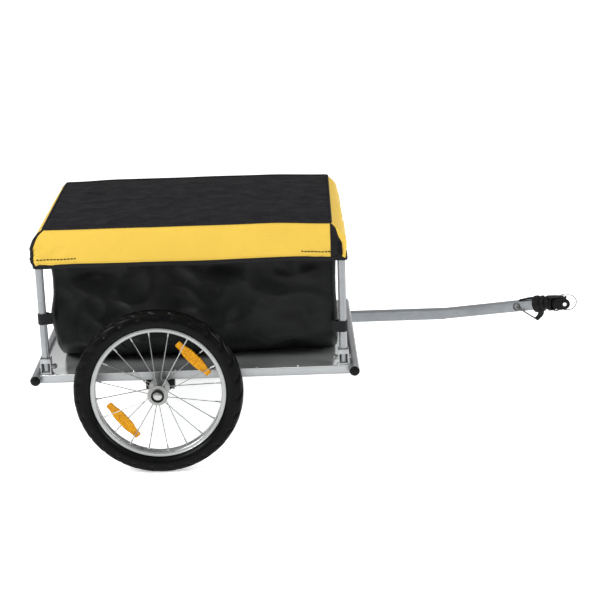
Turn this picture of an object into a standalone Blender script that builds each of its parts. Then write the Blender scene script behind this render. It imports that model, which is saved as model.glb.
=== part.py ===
"""Folding two-wheel cargo trailer for a bicycle, in metres, +X forward, +Y left, +Z up.

A steel tray stands on two push-button 16 inch wheels. Two bent side hoops hinge inwards on
the tray and hold up an open fabric bag with a fitted cover. A tow bar swings under the tray
and ends in a flexible coupler with a plate for the bicycle's rear axle.
"""

import math

import bmesh
import bpy
from mathutils import Matrix, Vector

MM = 0.001
GAP = 0.3 * MM
RIGHT, LEFT = -1, 1
REAR, FRONT = -1, 1
SIDES = {"right": RIGHT, "left": LEFT}
ENDS = {"rear": REAR, "front": FRONT}
X_AXIS, Y_AXIS, Z_AXIS = Vector((1, 0, 0)), Vector((0, 1, 0)), Vector((0, 0, 1))

# Tray: two round end tubes across, two square side rails along, a sheet floor on the rails.
TRAY_HALF_LENGTH = 380.5 * MM
END_TUBE_HALF = 286 * MM
END_TUBE_R = 12.5 * MM
TUBE_WALL = 1.6 * MM
TRAY_Z = 217 * MM
RAIL_Y = 262 * MM
RAIL_WIDTH = 25 * MM
RAIL_BOTTOM, RAIL_TOP = 207 * MM, 226 * MM
FLOOR_THICKNESS, FLOOR_CLEARANCE = 1.2 * MM, 1.5 * MM
FLOOR_BOTTOM = RAIL_TOP + GAP
FLOOR_TOP = FLOOR_BOTTOM + FLOOR_THICKNESS

# Wheels, on stub axles under the rails.
WHEEL_R = 200 * MM
WHEEL_X = -84 * MM
WHEEL_Y = 337 * MM
RIM_R, RIM_INNER_R, RIM_HALF_WIDTH = 159 * MM, 148.5 * MM, 13 * MM
TYRE_HALF_WIDTH = 23 * MM
WHEEL_STEPS = 32
AXLE_R = 5 * MM
HUB_FLANGE_R, HUB_FLANGE_OFFSET = 24.5 * MM, 28 * MM
HUB_BORE_R = 11.3 * MM
HUB_END = 36 * MM
SPOKES = 20
SPOKE_R = 1.1 * MM
FIRST_SPOKE = math.radians(6)
VALVE_ANGLE = math.radians(123.7)
REFLECTORS = {"a": (math.radians(42.5), 116 * MM), "b": (math.radians(218.5), 111 * MM)}
BUTTON_TRAVEL = 3 * MM
RECEIVER_HALF_LENGTH, RECEIVER_DROP, RECEIVER_OUTWARD = 34 * MM, 14 * MM, 22 * MM
BEAM_HALF, BEAM_WALL = 12 * MM, 2 * MM
TUBE_MIDDLE_R, TUBE_R = 173 * MM, 15 * MM
VALVE_REACH, VALVE_R = (128 * MM, 162 * MM), 3 * MM

# Side hoops: the right one stands outside the left one, so they fold past each other.
HOOP_Y = 258 * MM
HOOP_R = 9.5 * MM
HOOP_HALF_LENGTH = {"right": 355.5 * MM, "left": 334 * MM}
HOOP_TOP = 566.5 * MM
HOOP_BEND = 55 * MM
PIVOT_Z = 244.5 * MM
POST_STUB = 9.5 * MM
HINGE_TOP = 266.5 * MM
HINGE_WINDOW = (232.5 * MM, 255.5 * MM)
HINGE_SLACK, HINGE_SHEET = 0.7 * MM, 2.5 * MM
HINGE_BOLT_R = 3 * MM
STRAP_Z = {"rear": 364.5 * MM, "front": 323 * MM}
STRAP_HEIGHT = 27 * MM
STRAP_SLACK, STRAP_THICKNESS = 0.5 * MM, 1.6 * MM
STRAP_TAB_REACH, STRAP_TAB_HALF = 20 * MM, 1 * MM

# Bag and cover.
BAG_HALF = Vector((333 * MM, 240 * MM, 0))
BAG_MIDDLE_X = -1 * MM
BAG_TOP = 552 * MM
BAG_ROUNDING = Vector((35 * MM, 95 * MM, 110 * MM))
COVER_HALF = Vector((369 * MM, 271 * MM, 0))
COVER_TOP, COVER_HEM = 586 * MM, 488 * MM
COVER_LEAN_FROM, COVER_LEAN = 520 * MM, 22 * MM
COVER_ROUNDING = Vector((7.5 * MM, 7.5 * MM, 12 * MM))
CLOTH = 1.6 * MM

# Tow bar: a straight length under the tray, then a length that rises towards the bicycle.
BAR_WIDTH = 25 * MM
BAR_START = Vector((302, 235, 191.5)) * MM
BAR_BEND = Vector((645, 235, 191.5)) * MM
BAR_END = Vector((872, 105, 249.5)) * MM
PIVOT_BOLT = Vector((326, 235, 191.5)) * MM
PIVOT_BOLT_R = 4 * MM
STOP_PIN_X, STOP_PIN_R, STOP_PIN_HEIGHT = 351 * MM, 4 * MM, 2.4 * MM
BRACKET_X = (288 * MM, 364 * MM)
BRACKET_INWARD, BRACKET_OUTWARD = 20 * MM, 34 * MM
BRACKET_SHEET, BRACKET_FLOOR = 3 * MM, 2.6 * MM

# Hitch: a clevis on a rubber boot, with an upright pin that the axle plate turns on.
BOOT_R, BOOT_LENGTH = 20.5 * MM, 27 * MM
PIN = Vector((942, 88, 256.5)) * MM
PIN_R = 4 * MM
CLEVIS_HALF_HEIGHT, CLEVIS_GAP = 16.8 * MM, 12.8 * MM
CLEVIS_HALF_DEPTH, CLEVIS_BACK = 14 * MM, 39 * MM
AXLE_PLATE_THICKNESS = 6 * MM
AXLE_PLATE_SETBACK, AXLE_PLATE_RISE = 26 * MM, 3.5 * MM
AXLE_HOLE_R = 5 * MM
BAIL_R, BAIL_LEAD, BAIL_WIRE = 20.1 * MM, 15.7 * MM, 1.2 * MM
RING_R, RING_WIRE, RING_SETBACK = 9 * MM, 1.6 * MM, 46 * MM
HOOK_WIRE = 1.9 * MM
SAFETY_STRAP_THICKNESS = 2.4 * MM

# The whole trailer is shifted along X so that its middle lies over the origin.
TAIL_REACH = TRAY_HALF_LENGTH + END_TUBE_R
NOSE_REACH = PIN.x + BAIL_LEAD + BAIL_R + BAIL_WIRE
LENGTHWISE_SHIFT = (TAIL_REACH - NOSE_REACH) / 2

COLOURS = {  # name: (colour, roughness, metallic)
    "steel": ((0.36, 0.37, 0.38), 0.38, 0.8),
    "alloy": ((0.62, 0.63, 0.64), 0.28, 0.9),
    "bar_steel": ((0.28, 0.29, 0.31), 0.42, 0.7),
    "black_plastic": ((0.012, 0.012, 0.013), 0.45, 0.0),
    "black_steel": ((0.02, 0.02, 0.022), 0.4, 0.4),
    "rubber": ((0.016, 0.017, 0.017), 0.75, 0.0),
    "amber": ((0.85, 0.32, 0.01), 0.2, 0.0),
    "bag_cloth": ((0.014, 0.014, 0.016), 0.7, 0.0),
    "cover_cloth": ((0.86, 0.60, 0.09), 0.7, 0.0),
    "webbing": ((0.01, 0.01, 0.012), 0.8, 0.0),
}


def clear_scene():
    for obj in list(bpy.data.objects):
        bpy.data.objects.remove(obj)


def make_materials():
    made = {}
    for name, (colour, roughness, metallic) in COLOURS.items():
        material = bpy.data.materials.new(name)
        material.use_nodes = True
        shader = material.node_tree.nodes["Principled BSDF"]
        shader.inputs["Base Color"].default_value = (*colour, 1)
        shader.inputs["Roughness"].default_value = roughness
        shader.inputs["Metallic"].default_value = metallic
        material.diffuse_color = (*colour, 1)
        made[name] = material
    return made


def make_collection(name):
    collection = bpy.data.collections.new(name)
    bpy.context.scene.collection.children.link(collection)
    return collection


def make_empty(name, location=(0, 0, 0), parent=None):
    empty = bpy.data.objects.new(name, None)
    PARTS.objects.link(empty)
    empty.location = location
    empty.parent = parent
    return empty


def mesh_object(name, bm):
    """A plain object from a bmesh, with its faces turned outwards."""
    bmesh.ops.recalc_face_normals(bm, faces=bm.faces)
    mesh = bpy.data.meshes.new(name)
    bm.to_mesh(mesh)
    bm.free()
    obj = bpy.data.objects.new(name, mesh)
    bpy.context.scene.collection.objects.link(obj)
    return obj


def bake(shape):
    """Replaces a shape by the mesh that it and its modifiers make, with its seams welded."""
    bpy.context.view_layer.update()
    evaluated = shape.evaluated_get(bpy.context.evaluated_depsgraph_get())
    raw = bpy.data.meshes.new_from_object(evaluated)
    bm = bmesh.new()
    bm.from_mesh(raw)
    bmesh.ops.transform(bm, matrix=shape.matrix_world, verts=bm.verts)
    bmesh.ops.remove_doubles(bm, verts=bm.verts, dist=0.005 * MM)
    name = shape.name
    bpy.data.objects.remove(shape)
    return mesh_object(name, bm)


def combine(shape, tool, operation):
    """Applies one Boolean with the tool, which is used up."""
    modifier = shape.modifiers.new("boolean", "BOOLEAN")
    modifier.operation = operation
    modifier.object = tool
    baked = bake(shape)
    bpy.data.objects.remove(tool)
    return baked


def cut(shape, tool):
    return combine(shape, tool, "DIFFERENCE")


def join(shape, tool):
    return combine(shape, tool, "UNION")


def box(name, low, high):
    """A box from its low corner to its high one."""
    low, high = Vector(low), Vector(high)
    bm = bmesh.new()
    bmesh.ops.create_cube(bm, size=1)
    bmesh.ops.scale(bm, vec=high - low, verts=bm.verts)
    bmesh.ops.translate(bm, vec=(low + high) / 2, verts=bm.verts)
    return mesh_object(name, bm)


def rod(name, radius, start, end, sides=20):
    """A solid cylinder between two points."""
    start, end = Vector(start), Vector(end)
    bm = bmesh.new()
    bmesh.ops.create_cone(
        bm, cap_ends=True, segments=sides, radius1=radius, radius2=radius, depth=(end - start).length
    )
    turn = Z_AXIS.rotation_difference(end - start).to_matrix().to_4x4()
    bmesh.ops.transform(bm, matrix=Matrix.Translation((start + end) / 2) @ turn, verts=bm.verts)
    return mesh_object(name, bm)


def turned(name, outline, axis, centre=(0, 0, 0), steps=24, closed=False):
    """A shape of (radius, height) points turned about an axis through the centre."""
    bm = bmesh.new()
    points = [bm.verts.new((radius, 0, height)) for radius, height in outline]
    pairs = list(zip(points, points[1:]))
    if closed:
        pairs.append((points[-1], points[0]))
    for pair in pairs:
        bm.edges.new(pair)
    mesh = bpy.data.meshes.new(name)
    bm.to_mesh(mesh)
    bm.free()
    shape = bpy.data.objects.new(name, mesh)
    bpy.context.scene.collection.objects.link(shape)
    screw = shape.modifiers.new("turn", "SCREW")
    screw.steps = steps
    screw.render_steps = steps
    screw.use_merge_vertices = True
    screw.merge_threshold = 0.01 * MM
    shape.matrix_world = (
        Matrix.Translation(centre) @ Z_AXIS.rotation_difference(Vector(axis)).to_matrix().to_4x4()
    )
    return bake(shape)


def pipe(name, points, radius, resolution=2, closed=False):
    """A round bar through the points."""
    curve = bpy.data.curves.new(name, "CURVE")
    curve.dimensions = "3D"
    curve.bevel_depth = radius
    curve.bevel_resolution = resolution
    curve.use_fill_caps = True
    spline = curve.splines.new("POLY")
    spline.points.add(len(points) - 1)
    for point, place in zip(spline.points, points):
        point.co = (*place, 1)
    spline.use_cyclic_u = closed
    shape = bpy.data.objects.new(name, curve)
    bpy.context.scene.collection.objects.link(shape)
    return bake(shape)


def plate(name, outline, thickness, frame):
    """A flat outline, extruded to its thickness and put in place by the frame."""
    curve = bpy.data.curves.new(name, "CURVE")
    curve.dimensions = "2D"
    curve.fill_mode = "BOTH"
    curve.extrude = thickness / 2
    spline = curve.splines.new("POLY")
    spline.points.add(len(outline) - 1)
    for point, (across, up) in zip(spline.points, outline):
        point.co = (across, up, 0, 1)
    spline.use_cyclic_u = True
    shape = bpy.data.objects.new(name, curve)
    bpy.context.scene.collection.objects.link(shape)
    shape.matrix_world = frame
    return bake(shape)


def arc(centre, radius, start, end, steps):
    """Points of a flat arc, from one angle to another."""
    turns = [start + (end - start) * step / steps for step in range(steps + 1)]
    return [(centre[0] + radius * math.cos(t), centre[1] + radius * math.sin(t)) for t in turns]


def soften(shape, width, segments=1):
    """Rounds a baked shape's sharp edges."""
    bevel = shape.modifiers.new("round", "BEVEL")
    bevel.width = width
    bevel.segments = segments
    bevel.limit_method = "ANGLE"
    return bake(shape)


def store(shape, material, parent, origin=(0, 0, 0)):
    """Names, colours and parents a finished shape, with its origin at a point of the trailer."""
    shape.data.transform(Matrix.Translation(-Vector(origin)))
    bpy.context.scene.collection.objects.unlink(shape)
    PARTS.objects.link(shape)
    shape.data.materials.clear()
    shape.data.materials.append(MATERIALS[material])
    shape.data.shade_smooth()
    shape.data.set_sharp_from_angle(angle=math.radians(35))
    shape.parent = parent
    shape.location = Vector(origin) - offset_of(parent)
    return shape


def offset_of(empty):
    """Where an empty lies on the trailer, counted from the trailer's own empty."""
    place = Vector((0, 0, 0))
    while empty is not TRAILER:
        place += empty.location
        empty = empty.parent
    return place


def make_end_tubes():
    wall = [
        (END_TUBE_R, END_TUBE_HALF),
        (END_TUBE_R, -END_TUBE_HALF),
        (END_TUBE_R - TUBE_WALL, -END_TUBE_HALF),
        (END_TUBE_R - TUBE_WALL, END_TUBE_HALF),
    ]
    for end, towards in ENDS.items():
        centre = (towards * TRAY_HALF_LENGTH, 0, TRAY_Z)
        tube = turned(f"end_tube_{end}", wall, Y_AXIS, centre, closed=True)
        store(tube, "steel", TRAILER, centre)
        for side, way in SIDES.items():
            make_end_cap(f"end_cap_{end}_{side}", centre, way)


def make_end_cap(name, centre, way):
    """A domed plastic plug with a hollow-tube stem."""
    stem_r = END_TUBE_R - TUBE_WALL - GAP
    dome = [(0, 5 * MM), (5 * MM, 4.5 * MM), (9.5 * MM, 3 * MM), (12 * MM, 1 * MM), (12.2 * MM, GAP)]
    stem = [(stem_r, GAP), (stem_r, -12 * MM), (0, -12 * MM)]
    mouth = Vector(centre) + way * END_TUBE_HALF * Y_AXIS
    cap = turned(name, dome + stem, way * Y_AXIS, mouth, steps=20)
    store(cap, "black_plastic", TRAILER, mouth)


def make_side_rails():
    for side, way in SIDES.items():
        inner, outer = sorted((way * (RAIL_Y - RAIL_WIDTH / 2), way * (RAIL_Y + RAIL_WIDTH / 2)))
        reach = TRAY_HALF_LENGTH
        rail = box(f"side_rail_{side}", (-reach, inner, RAIL_BOTTOM), (reach, outer, RAIL_TOP))
        wall = TUBE_WALL
        bore = box(
            "bore",
            (-reach - wall, inner + wall, RAIL_BOTTOM + wall),
            (reach + wall, outer - wall, RAIL_TOP - wall),
        )
        rail = cut(rail, bore)
        for towards in ENDS.values():
            x = towards * TRAY_HALF_LENGTH
            cope = rod("cope", END_TUBE_R + GAP, (x, inner - wall, TRAY_Z), (x, outer + wall, TRAY_Z), 24)
            rail = cut(rail, cope)
        store(rail, "steel", TRAILER, (0, way * RAIL_Y, TRAY_Z))


def make_floor():
    """The sheet that lies on the side rails, just clear of the end tubes."""
    reach_x = TRAY_HALF_LENGTH - END_TUBE_R - FLOOR_CLEARANCE
    reach_y = RAIL_Y + RAIL_WIDTH / 2
    sheet = box("floor_plate", (-reach_x, -reach_y, FLOOR_BOTTOM), (reach_x, reach_y, FLOOR_TOP))
    store(sheet, "steel", TRAILER, (0, 0, FLOOR_BOTTOM))


def make_hinge(side, end):
    """The folded bracket that a hoop's post stands in, and its bolt with the lock nut on."""
    way, towards = SIDES[side], ENDS[end]
    x = towards * HOOP_HALF_LENGTH[side]
    ear_inner = HOOP_R + HINGE_SLACK
    ear_outer = ear_inner + HINGE_SHEET
    base = FLOOR_TOP + GAP
    outer_face, open_face = HOOP_Y + 13.5 * MM, HOOP_Y - 11.5 * MM
    overcut = 5 * MM

    def across(low, high):
        """Two distances from the middle, as a low and a high y on this side."""
        return sorted((way * low, way * high))

    low, high = across(open_face, outer_face)
    bracket = box(f"hinge_bracket_{end}_{side}", (x - ear_outer, low, base), (x + ear_outer, high, HINGE_TOP))
    low, high = across(open_face - overcut, outer_face - HINGE_SHEET)
    slot = box("slot", (x - ear_inner, low, base + HINGE_SHEET), (x + ear_inner, high, HINGE_TOP + overcut))
    bracket = cut(bracket, slot)
    low, high = across(open_face - overcut, outer_face + overcut)
    window = box("window", (x - ear_inner, low, HINGE_WINDOW[0]), (x + ear_inner, high, HINGE_WINDOW[1]))
    bracket = cut(bracket, window)
    pivot = Vector((x, way * HOOP_Y, PIVOT_Z))
    reach = Vector((2 * HOOP_R, 0, 0))
    hole = rod("hole", HINGE_BOLT_R + GAP, pivot - reach, pivot + reach, 12)
    store(cut(bracket, hole), "steel", TRAILER, pivot)

    ear = ear_outer + GAP
    head_r, nut_r = 2 * HINGE_BOLT_R, 5.5 * MM
    outline = [
        (0, -ear - 4 * MM),
        (head_r, -ear - 4 * MM),
        (head_r, -ear),
        (HINGE_BOLT_R, -ear),
        (HINGE_BOLT_R, ear),
        (nut_r, ear),
        (nut_r, ear + 5 * MM),
        (HINGE_BOLT_R, ear + 5.5 * MM),
        (HINGE_BOLT_R, ear + 8 * MM),
        (0, ear + 8 * MM),
    ]
    bolt = turned(f"hinge_bolt_{end}_{side}", outline, -towards * X_AXIS, pivot, steps=12)
    store(bolt, "alloy", TRAILER, pivot)


def make_hoop(side):
    """One bent tube: two posts and the top rail between them, with a bolt hole in each post."""
    way = SIDES[side]
    half, y = HOOP_HALF_LENGTH[side], way * HOOP_Y
    foot = PIVOT_Z - POST_STUB
    bend_x, bend_z = half - HOOP_BEND, HOOP_TOP - HOOP_BEND
    route = [(-half, foot)]
    route += arc((-bend_x, bend_z), HOOP_BEND, math.pi, math.pi / 2, 6)
    route += arc((bend_x, bend_z), HOOP_BEND, math.pi / 2, 0, 6)
    route += [(half, foot)]
    hoop = pipe(f"hoop_{side}", [(x, y, z) for x, z in route], HOOP_R, resolution=3)
    reach = 2 * HOOP_R
    for x in (-half, half):
        hole = rod("hole", HINGE_BOLT_R + GAP, (x - reach, y, PIVOT_Z), (x + reach, y, PIVOT_Z), 12)
        hoop = cut(hoop, hole)
    pivot = make_empty(f"fold_{side}", (0, y, PIVOT_Z), TRAILER)
    store(hoop, "steel", pivot, (0, y, PIVOT_Z))
    for end, towards in ENDS.items():
        make_hoop_strap(side, end, (towards * half, y, STRAP_Z[end]), pivot)


def make_hoop_strap(side, end, centre, parent):
    """A webbing loop round a post, sewn to a short tab that holds the bag."""
    half = STRAP_HEIGHT / 2
    inner = HOOP_R + STRAP_SLACK
    outer = inner + STRAP_THICKNESS
    wall = [(outer, half), (outer, -half), (inner, -half), (inner, half)]
    loop = turned(f"hoop_strap_{end}_{side}", wall, Z_AXIS, centre, steps=16, closed=True)
    x, y, z = centre
    tab_root = inner + 0.4 * STRAP_THICKNESS
    start, stop = sorted((x - ENDS[end] * tab_root, x - ENDS[end] * STRAP_TAB_REACH))
    tab_half = half * 0.98
    low, high = (start, y - STRAP_TAB_HALF, z - tab_half), (stop, y + STRAP_TAB_HALF, z + tab_half)
    store(join(loop, box("tab", low, high)), "webbing", parent, centre)


def spread(fraction, reach, rounding):
    """Places an even grid line from the middle (0) to the edge (1): half of the lines round the edge."""
    size = abs(fraction)
    if size <= 0.5:
        distance = (reach - rounding) * 2 * size
    else:
        distance = reach - rounding * 2 * (1 - size)
    return math.copysign(distance, fraction)


def rounded_corner(spot, core, rounding):
    """Moves a point of a box onto the box's rounded form: a core with an ellipsoid round it."""
    inner = Vector([max(-limit, min(limit, value)) for value, limit in zip(spot, core)])
    lean = Vector([(value - middle) / r for value, middle, r in zip(spot, inner, rounding)])
    if lean.length > 0:
        lean = lean.normalized() * max(abs(part) for part in lean)
    return inner + Matrix.Diagonal(rounding) @ lean


def rounded_tub(name, half, closed_z, rim_z, rounding):
    """A cloth tub: a box with soft edges, one wall thick and open at its rim."""
    depth = abs(rim_z - closed_z)
    inwards = 1 if rim_z > closed_z else -1
    bm = bmesh.new()
    bmesh.ops.create_cube(bm, size=2)
    bmesh.ops.subdivide_edges(bm, edges=bm.edges, cuts=5, use_grid_fill=True)
    lid = [face for face in bm.faces if face.calc_center_median().z > 0.999]
    bmesh.ops.delete(bm, geom=lid, context="FACES")
    core = Vector((half.x, half.y, depth)) - rounding
    for vert in bm.verts:
        x = spread(vert.co.x, half.x, rounding.x)
        y = spread(vert.co.y, half.y, rounding.y)
        below_rim = spread((1 - vert.co.z) / 2, depth, rounding.z)
        spot = rounded_corner(Vector((x, y, below_rim)), core, rounding)
        vert.co = (spot.x, spot.y, rim_z - inwards * spot.z)
    shape = mesh_object(name, bm)
    shell = shape.modifiers.new("cloth", "SOLIDIFY")
    shell.thickness = CLOTH
    shell.offset = -1
    return bake(shape)


def make_bag():
    low = FLOOR_TOP + GAP
    bag = rounded_tub("bag", BAG_HALF, low, BAG_TOP, BAG_ROUNDING)
    bag.data.transform(Matrix.Translation((BAG_MIDDLE_X, 0, 0)))
    store(bag, "bag_cloth", TRAILER, (BAG_MIDDLE_X, 0, low))


def make_cover():
    """The fitted cover, whose ends lean in over the bends of the hoops."""
    lift = make_empty("cover_lift", (0, 0, COVER_HEM), TRAILER)
    cover = rounded_tub("cover", COVER_HALF, COVER_TOP, COVER_HEM, COVER_ROUNDING)
    for vert in cover.data.vertices:
        rise = max(0, vert.co.z - COVER_LEAN_FROM) / (COVER_TOP - COVER_LEAN_FROM)
        vert.co.x *= 1 - rise * COVER_LEAN / COVER_HALF.x
    store(cover, "cover_cloth", lift, (0, 0, COVER_HEM))


def make_axle_mount(side):
    """The block under the rail that takes the stub axle, the axle, and its push button."""
    way = SIDES[side]
    centre = Vector((WHEEL_X, way * RAIL_Y, WHEEL_R))
    low, high = sorted((way * (RAIL_Y - RAIL_WIDTH / 2), way * (RAIL_Y + RECEIVER_OUTWARD)))
    block = box(
        f"axle_receiver_{side}",
        (WHEEL_X - RECEIVER_HALF_LENGTH, low, WHEEL_R - RECEIVER_DROP),
        (WHEEL_X + RECEIVER_HALF_LENGTH, high, RAIL_BOTTOM - GAP),
    )
    reach = Vector((0, 60 * MM, 0))
    block = cut(block, rod("bore", AXLE_R + GAP, centre - reach, centre + reach, 16))
    store(block, "black_steel", TRAILER, centre)

    hub = Vector((WHEEL_X, way * WHEEL_Y, WHEEL_R))
    head, well, tail = 32.5 * MM, 18 * MM, 98 * MM
    stem_r, head_r, button_r = 3 * MM, 10.6 * MM, 9.6 * MM
    outline = [
        (0, well),
        (stem_r + GAP, well),
        (stem_r + GAP, head),
        (head_r, head),
        (head_r, head - 1.4 * MM),
        (AXLE_R, head - 1.8 * MM),
        (AXLE_R, -tail),
        (0, -tail),
    ]
    store(turned(f"axle_{side}", outline, way * Y_AXIS, hub, steps=20), "alloy", TRAILER, hub)

    under = head + BUTTON_TRAVEL + 2 * GAP
    dome = [(0, 38.5 * MM), (4 * MM, 38.3 * MM), (8 * MM, 37.5 * MM), (button_r, under + 0.4 * MM)]
    stem = [(button_r, under), (stem_r, under), (stem_r, under - 12 * MM), (0, under - 12 * MM)]
    button = turned(f"release_button_{side}", dome + stem, way * Y_AXIS, hub, steps=20)
    slide = make_empty(f"button_slide_{side}", hub, TRAILER)
    store(button, "alloy", slide, hub)


def make_axle_beam():
    """The hollow crossbar between the rails, which the stub axles reach into."""
    reach = RAIL_Y - RAIL_WIDTH / 2 - GAP
    low = Vector((WHEEL_X - BEAM_HALF, -reach, WHEEL_R - BEAM_HALF))
    high = Vector((WHEEL_X + BEAM_HALF, reach, WHEEL_R + BEAM_HALF))
    wall = Vector((BEAM_WALL, -5 * MM, BEAM_WALL))
    beam = cut(box("axle_beam", low, high), box("bore", low + wall, high - wall))
    store(beam, "steel", TRAILER, (WHEEL_X, 0, WHEEL_R))


def make_tyre(side, hub, parent):
    """A casing open towards the rim, whose beads stand inside the rim's walls."""
    half_outline = [
        (153 * MM, 11.2 * MM),
        (159.8 * MM, 11.2 * MM),
        (164 * MM, 18 * MM),
        (177 * MM, TYRE_HALF_WIDTH),
        (190 * MM, 20 * MM),
        (WHEEL_R, 8 * MM),
    ]
    inside = [
        (196.5 * MM, 7 * MM),
        (189 * MM, 17 * MM),
        (177 * MM, 20 * MM),
        (159 * MM, 8.8 * MM),
        (153 * MM, 8.8 * MM),
    ]
    mirrored = [(r, -y) for r, y in reversed(half_outline)]
    inside_mirrored = [(r, -y) for r, y in reversed(inside)]
    outline = half_outline + mirrored + inside_mirrored + inside
    tyre = turned(f"tyre_{side}", outline, Y_AXIS, hub, steps=WHEEL_STEPS, closed=True)
    store(tyre, "rubber", parent, hub)


def make_rim(side, hub, parent):
    """A channel with straight walls, a thin floor and a hole for the valve."""
    wall, floor = 1.5 * MM, 1.8 * MM
    edge = RIM_HALF_WIDTH - wall
    outline = [
        (RIM_R, RIM_HALF_WIDTH),
        (RIM_R, edge),
        (RIM_INNER_R + floor, edge),
        (RIM_INNER_R + floor, -edge),
        (RIM_R, -edge),
        (RIM_R, -RIM_HALF_WIDTH),
        (RIM_INNER_R + 2 * MM, -RIM_HALF_WIDTH),
        (RIM_INNER_R, -RIM_HALF_WIDTH + 4 * MM),
        (RIM_INNER_R, RIM_HALF_WIDTH - 4 * MM),
        (RIM_INNER_R + 2 * MM, RIM_HALF_WIDTH),
    ]
    rim = turned(f"rim_{side}", outline, Y_AXIS, hub, steps=WHEEL_STEPS, closed=True)
    start, end = (radial(hub, VALVE_ANGLE, RIM_INNER_R + reach) for reach in (-8.5 * MM, 5.5 * MM))
    store(cut(rim, rod("hole", VALVE_R + 1 * MM, start, end, 10)), "alloy", parent, hub)


def radial(hub, angle, radius, along=0):
    """A point in a wheel, by its angle above +X as seen from the right."""
    return hub + Vector((radius * math.cos(angle), along, radius * math.sin(angle)))


def make_inner_tube(side, hub, parent):
    """The air tube, with its valve stem through the rim."""
    circle = arc((TUBE_MIDDLE_R, 0), TUBE_R, 0, -2 * math.pi, 8)[:-1]
    tube = turned(f"inner_tube_{side}", circle, Y_AXIS, hub, steps=WHEEL_STEPS, closed=True)
    start, end = (radial(hub, VALVE_ANGLE, reach) for reach in VALVE_REACH)
    store(join(tube, rod("stem", VALVE_R, start, end, 10)), "rubber", parent, hub)


def make_hub(side, hub, parent):
    """The hub shell with its spokes, which run by turns from the outer and the inner flange."""
    flange, barrel_r = HUB_FLANGE_OFFSET, 13.8 * MM
    half_outline = [
        (HUB_BORE_R, HUB_END),
        (14.5 * MM, HUB_END),
        (14.5 * MM, flange + 2.5 * MM),
        (HUB_FLANGE_R, flange + 1.5 * MM),
        (HUB_FLANGE_R, flange - 1.5 * MM),
        (barrel_r, flange - 4 * MM),
    ]
    mirrored = [(r, -y) for r, y in reversed(half_outline)]
    shell = turned(f"hub_{side}", half_outline + mirrored, Y_AXIS, hub, steps=20, closed=True)
    spoke_end_r = RIM_INNER_R * math.cos(math.pi / WHEEL_STEPS) - GAP
    bm = bmesh.new()
    for index in range(SPOKES):
        angle = FIRST_SPOKE + index * 2 * math.pi / SPOKES
        outward = SIDES[side] if index % 2 else -SIDES[side]
        start = radial(hub, angle, HUB_FLANGE_R - 4 * MM, outward * flange)
        end = radial(hub, angle, spoke_end_r, outward * 3 * MM)
        turn = Z_AXIS.rotation_difference(end - start).to_matrix().to_4x4()
        place = Matrix.Translation((start + end) / 2) @ turn
        bmesh.ops.create_cone(
            bm,
            cap_ends=True,
            segments=6,
            radius1=SPOKE_R,
            radius2=SPOKE_R,
            depth=(end - start).length,
            matrix=place,
        )
    store(join(shell, mesh_object("spokes", bm)), "alloy", parent, hub)


def make_bearings(side, hub, parent):
    outer, inner, half = HUB_BORE_R - GAP, AXLE_R + GAP, 3.5 * MM
    ring = [(outer, half), (outer, -half), (inner, -half), (inner, half)]
    for place, offset in (("outer", 24 * MM), ("inner", -30 * MM)):
        centre = hub + SIDES[side] * offset * Y_AXIS
        bearing = turned(f"bearing_{place}_{side}", ring, Y_AXIS, centre, steps=16, closed=True)
        store(bearing, "alloy", parent, centre)


def make_reflector(side, letter, hub, parent):
    """An amber bar between the two sets of spokes, fat in the middle with a tab at each end."""
    angle, radius = REFLECTORS[letter]
    half_length, half_width, tab_half = 53 * MM, 12.5 * MM, 7.5 * MM
    quarter = [
        (half_length, tab_half - 2 * MM),
        (half_length - 2 * MM, tab_half),
        (half_length - 13 * MM, tab_half + 0.5 * MM),
        (20 * MM, half_width - 0.5 * MM),
        (0, half_width),
    ]
    upper = quarter + [(-x, y) for x, y in reversed(quarter[:-1])]
    outline = upper + [(x, -y) for x, y in reversed(upper)]
    out = Vector((math.cos(angle), 0, math.sin(angle)))
    tangent = Vector((-math.sin(angle), 0, math.cos(angle)))
    frame = Matrix.Identity(4)
    for column, direction in enumerate((tangent, out, tangent.cross(out))):
        frame.col[column][:3] = direction
    frame.translation = radial(hub, angle, radius)
    bar = plate(f"reflector_{letter}_{side}", outline, 7 * MM, frame)
    store(bar, "amber", parent, hub)


def make_wheel(side):
    hub = Vector((WHEEL_X, SIDES[side] * WHEEL_Y, WHEEL_R))
    spin = make_empty(f"wheel_{side}", hub, TRAILER)
    make_tyre(side, hub, spin)
    make_inner_tube(side, hub, spin)
    make_rim(side, hub, spin)
    make_hub(side, hub, spin)
    make_bearings(side, hub, spin)
    for letter in REFLECTORS:
        make_reflector(side, letter, hub, spin)


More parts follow.
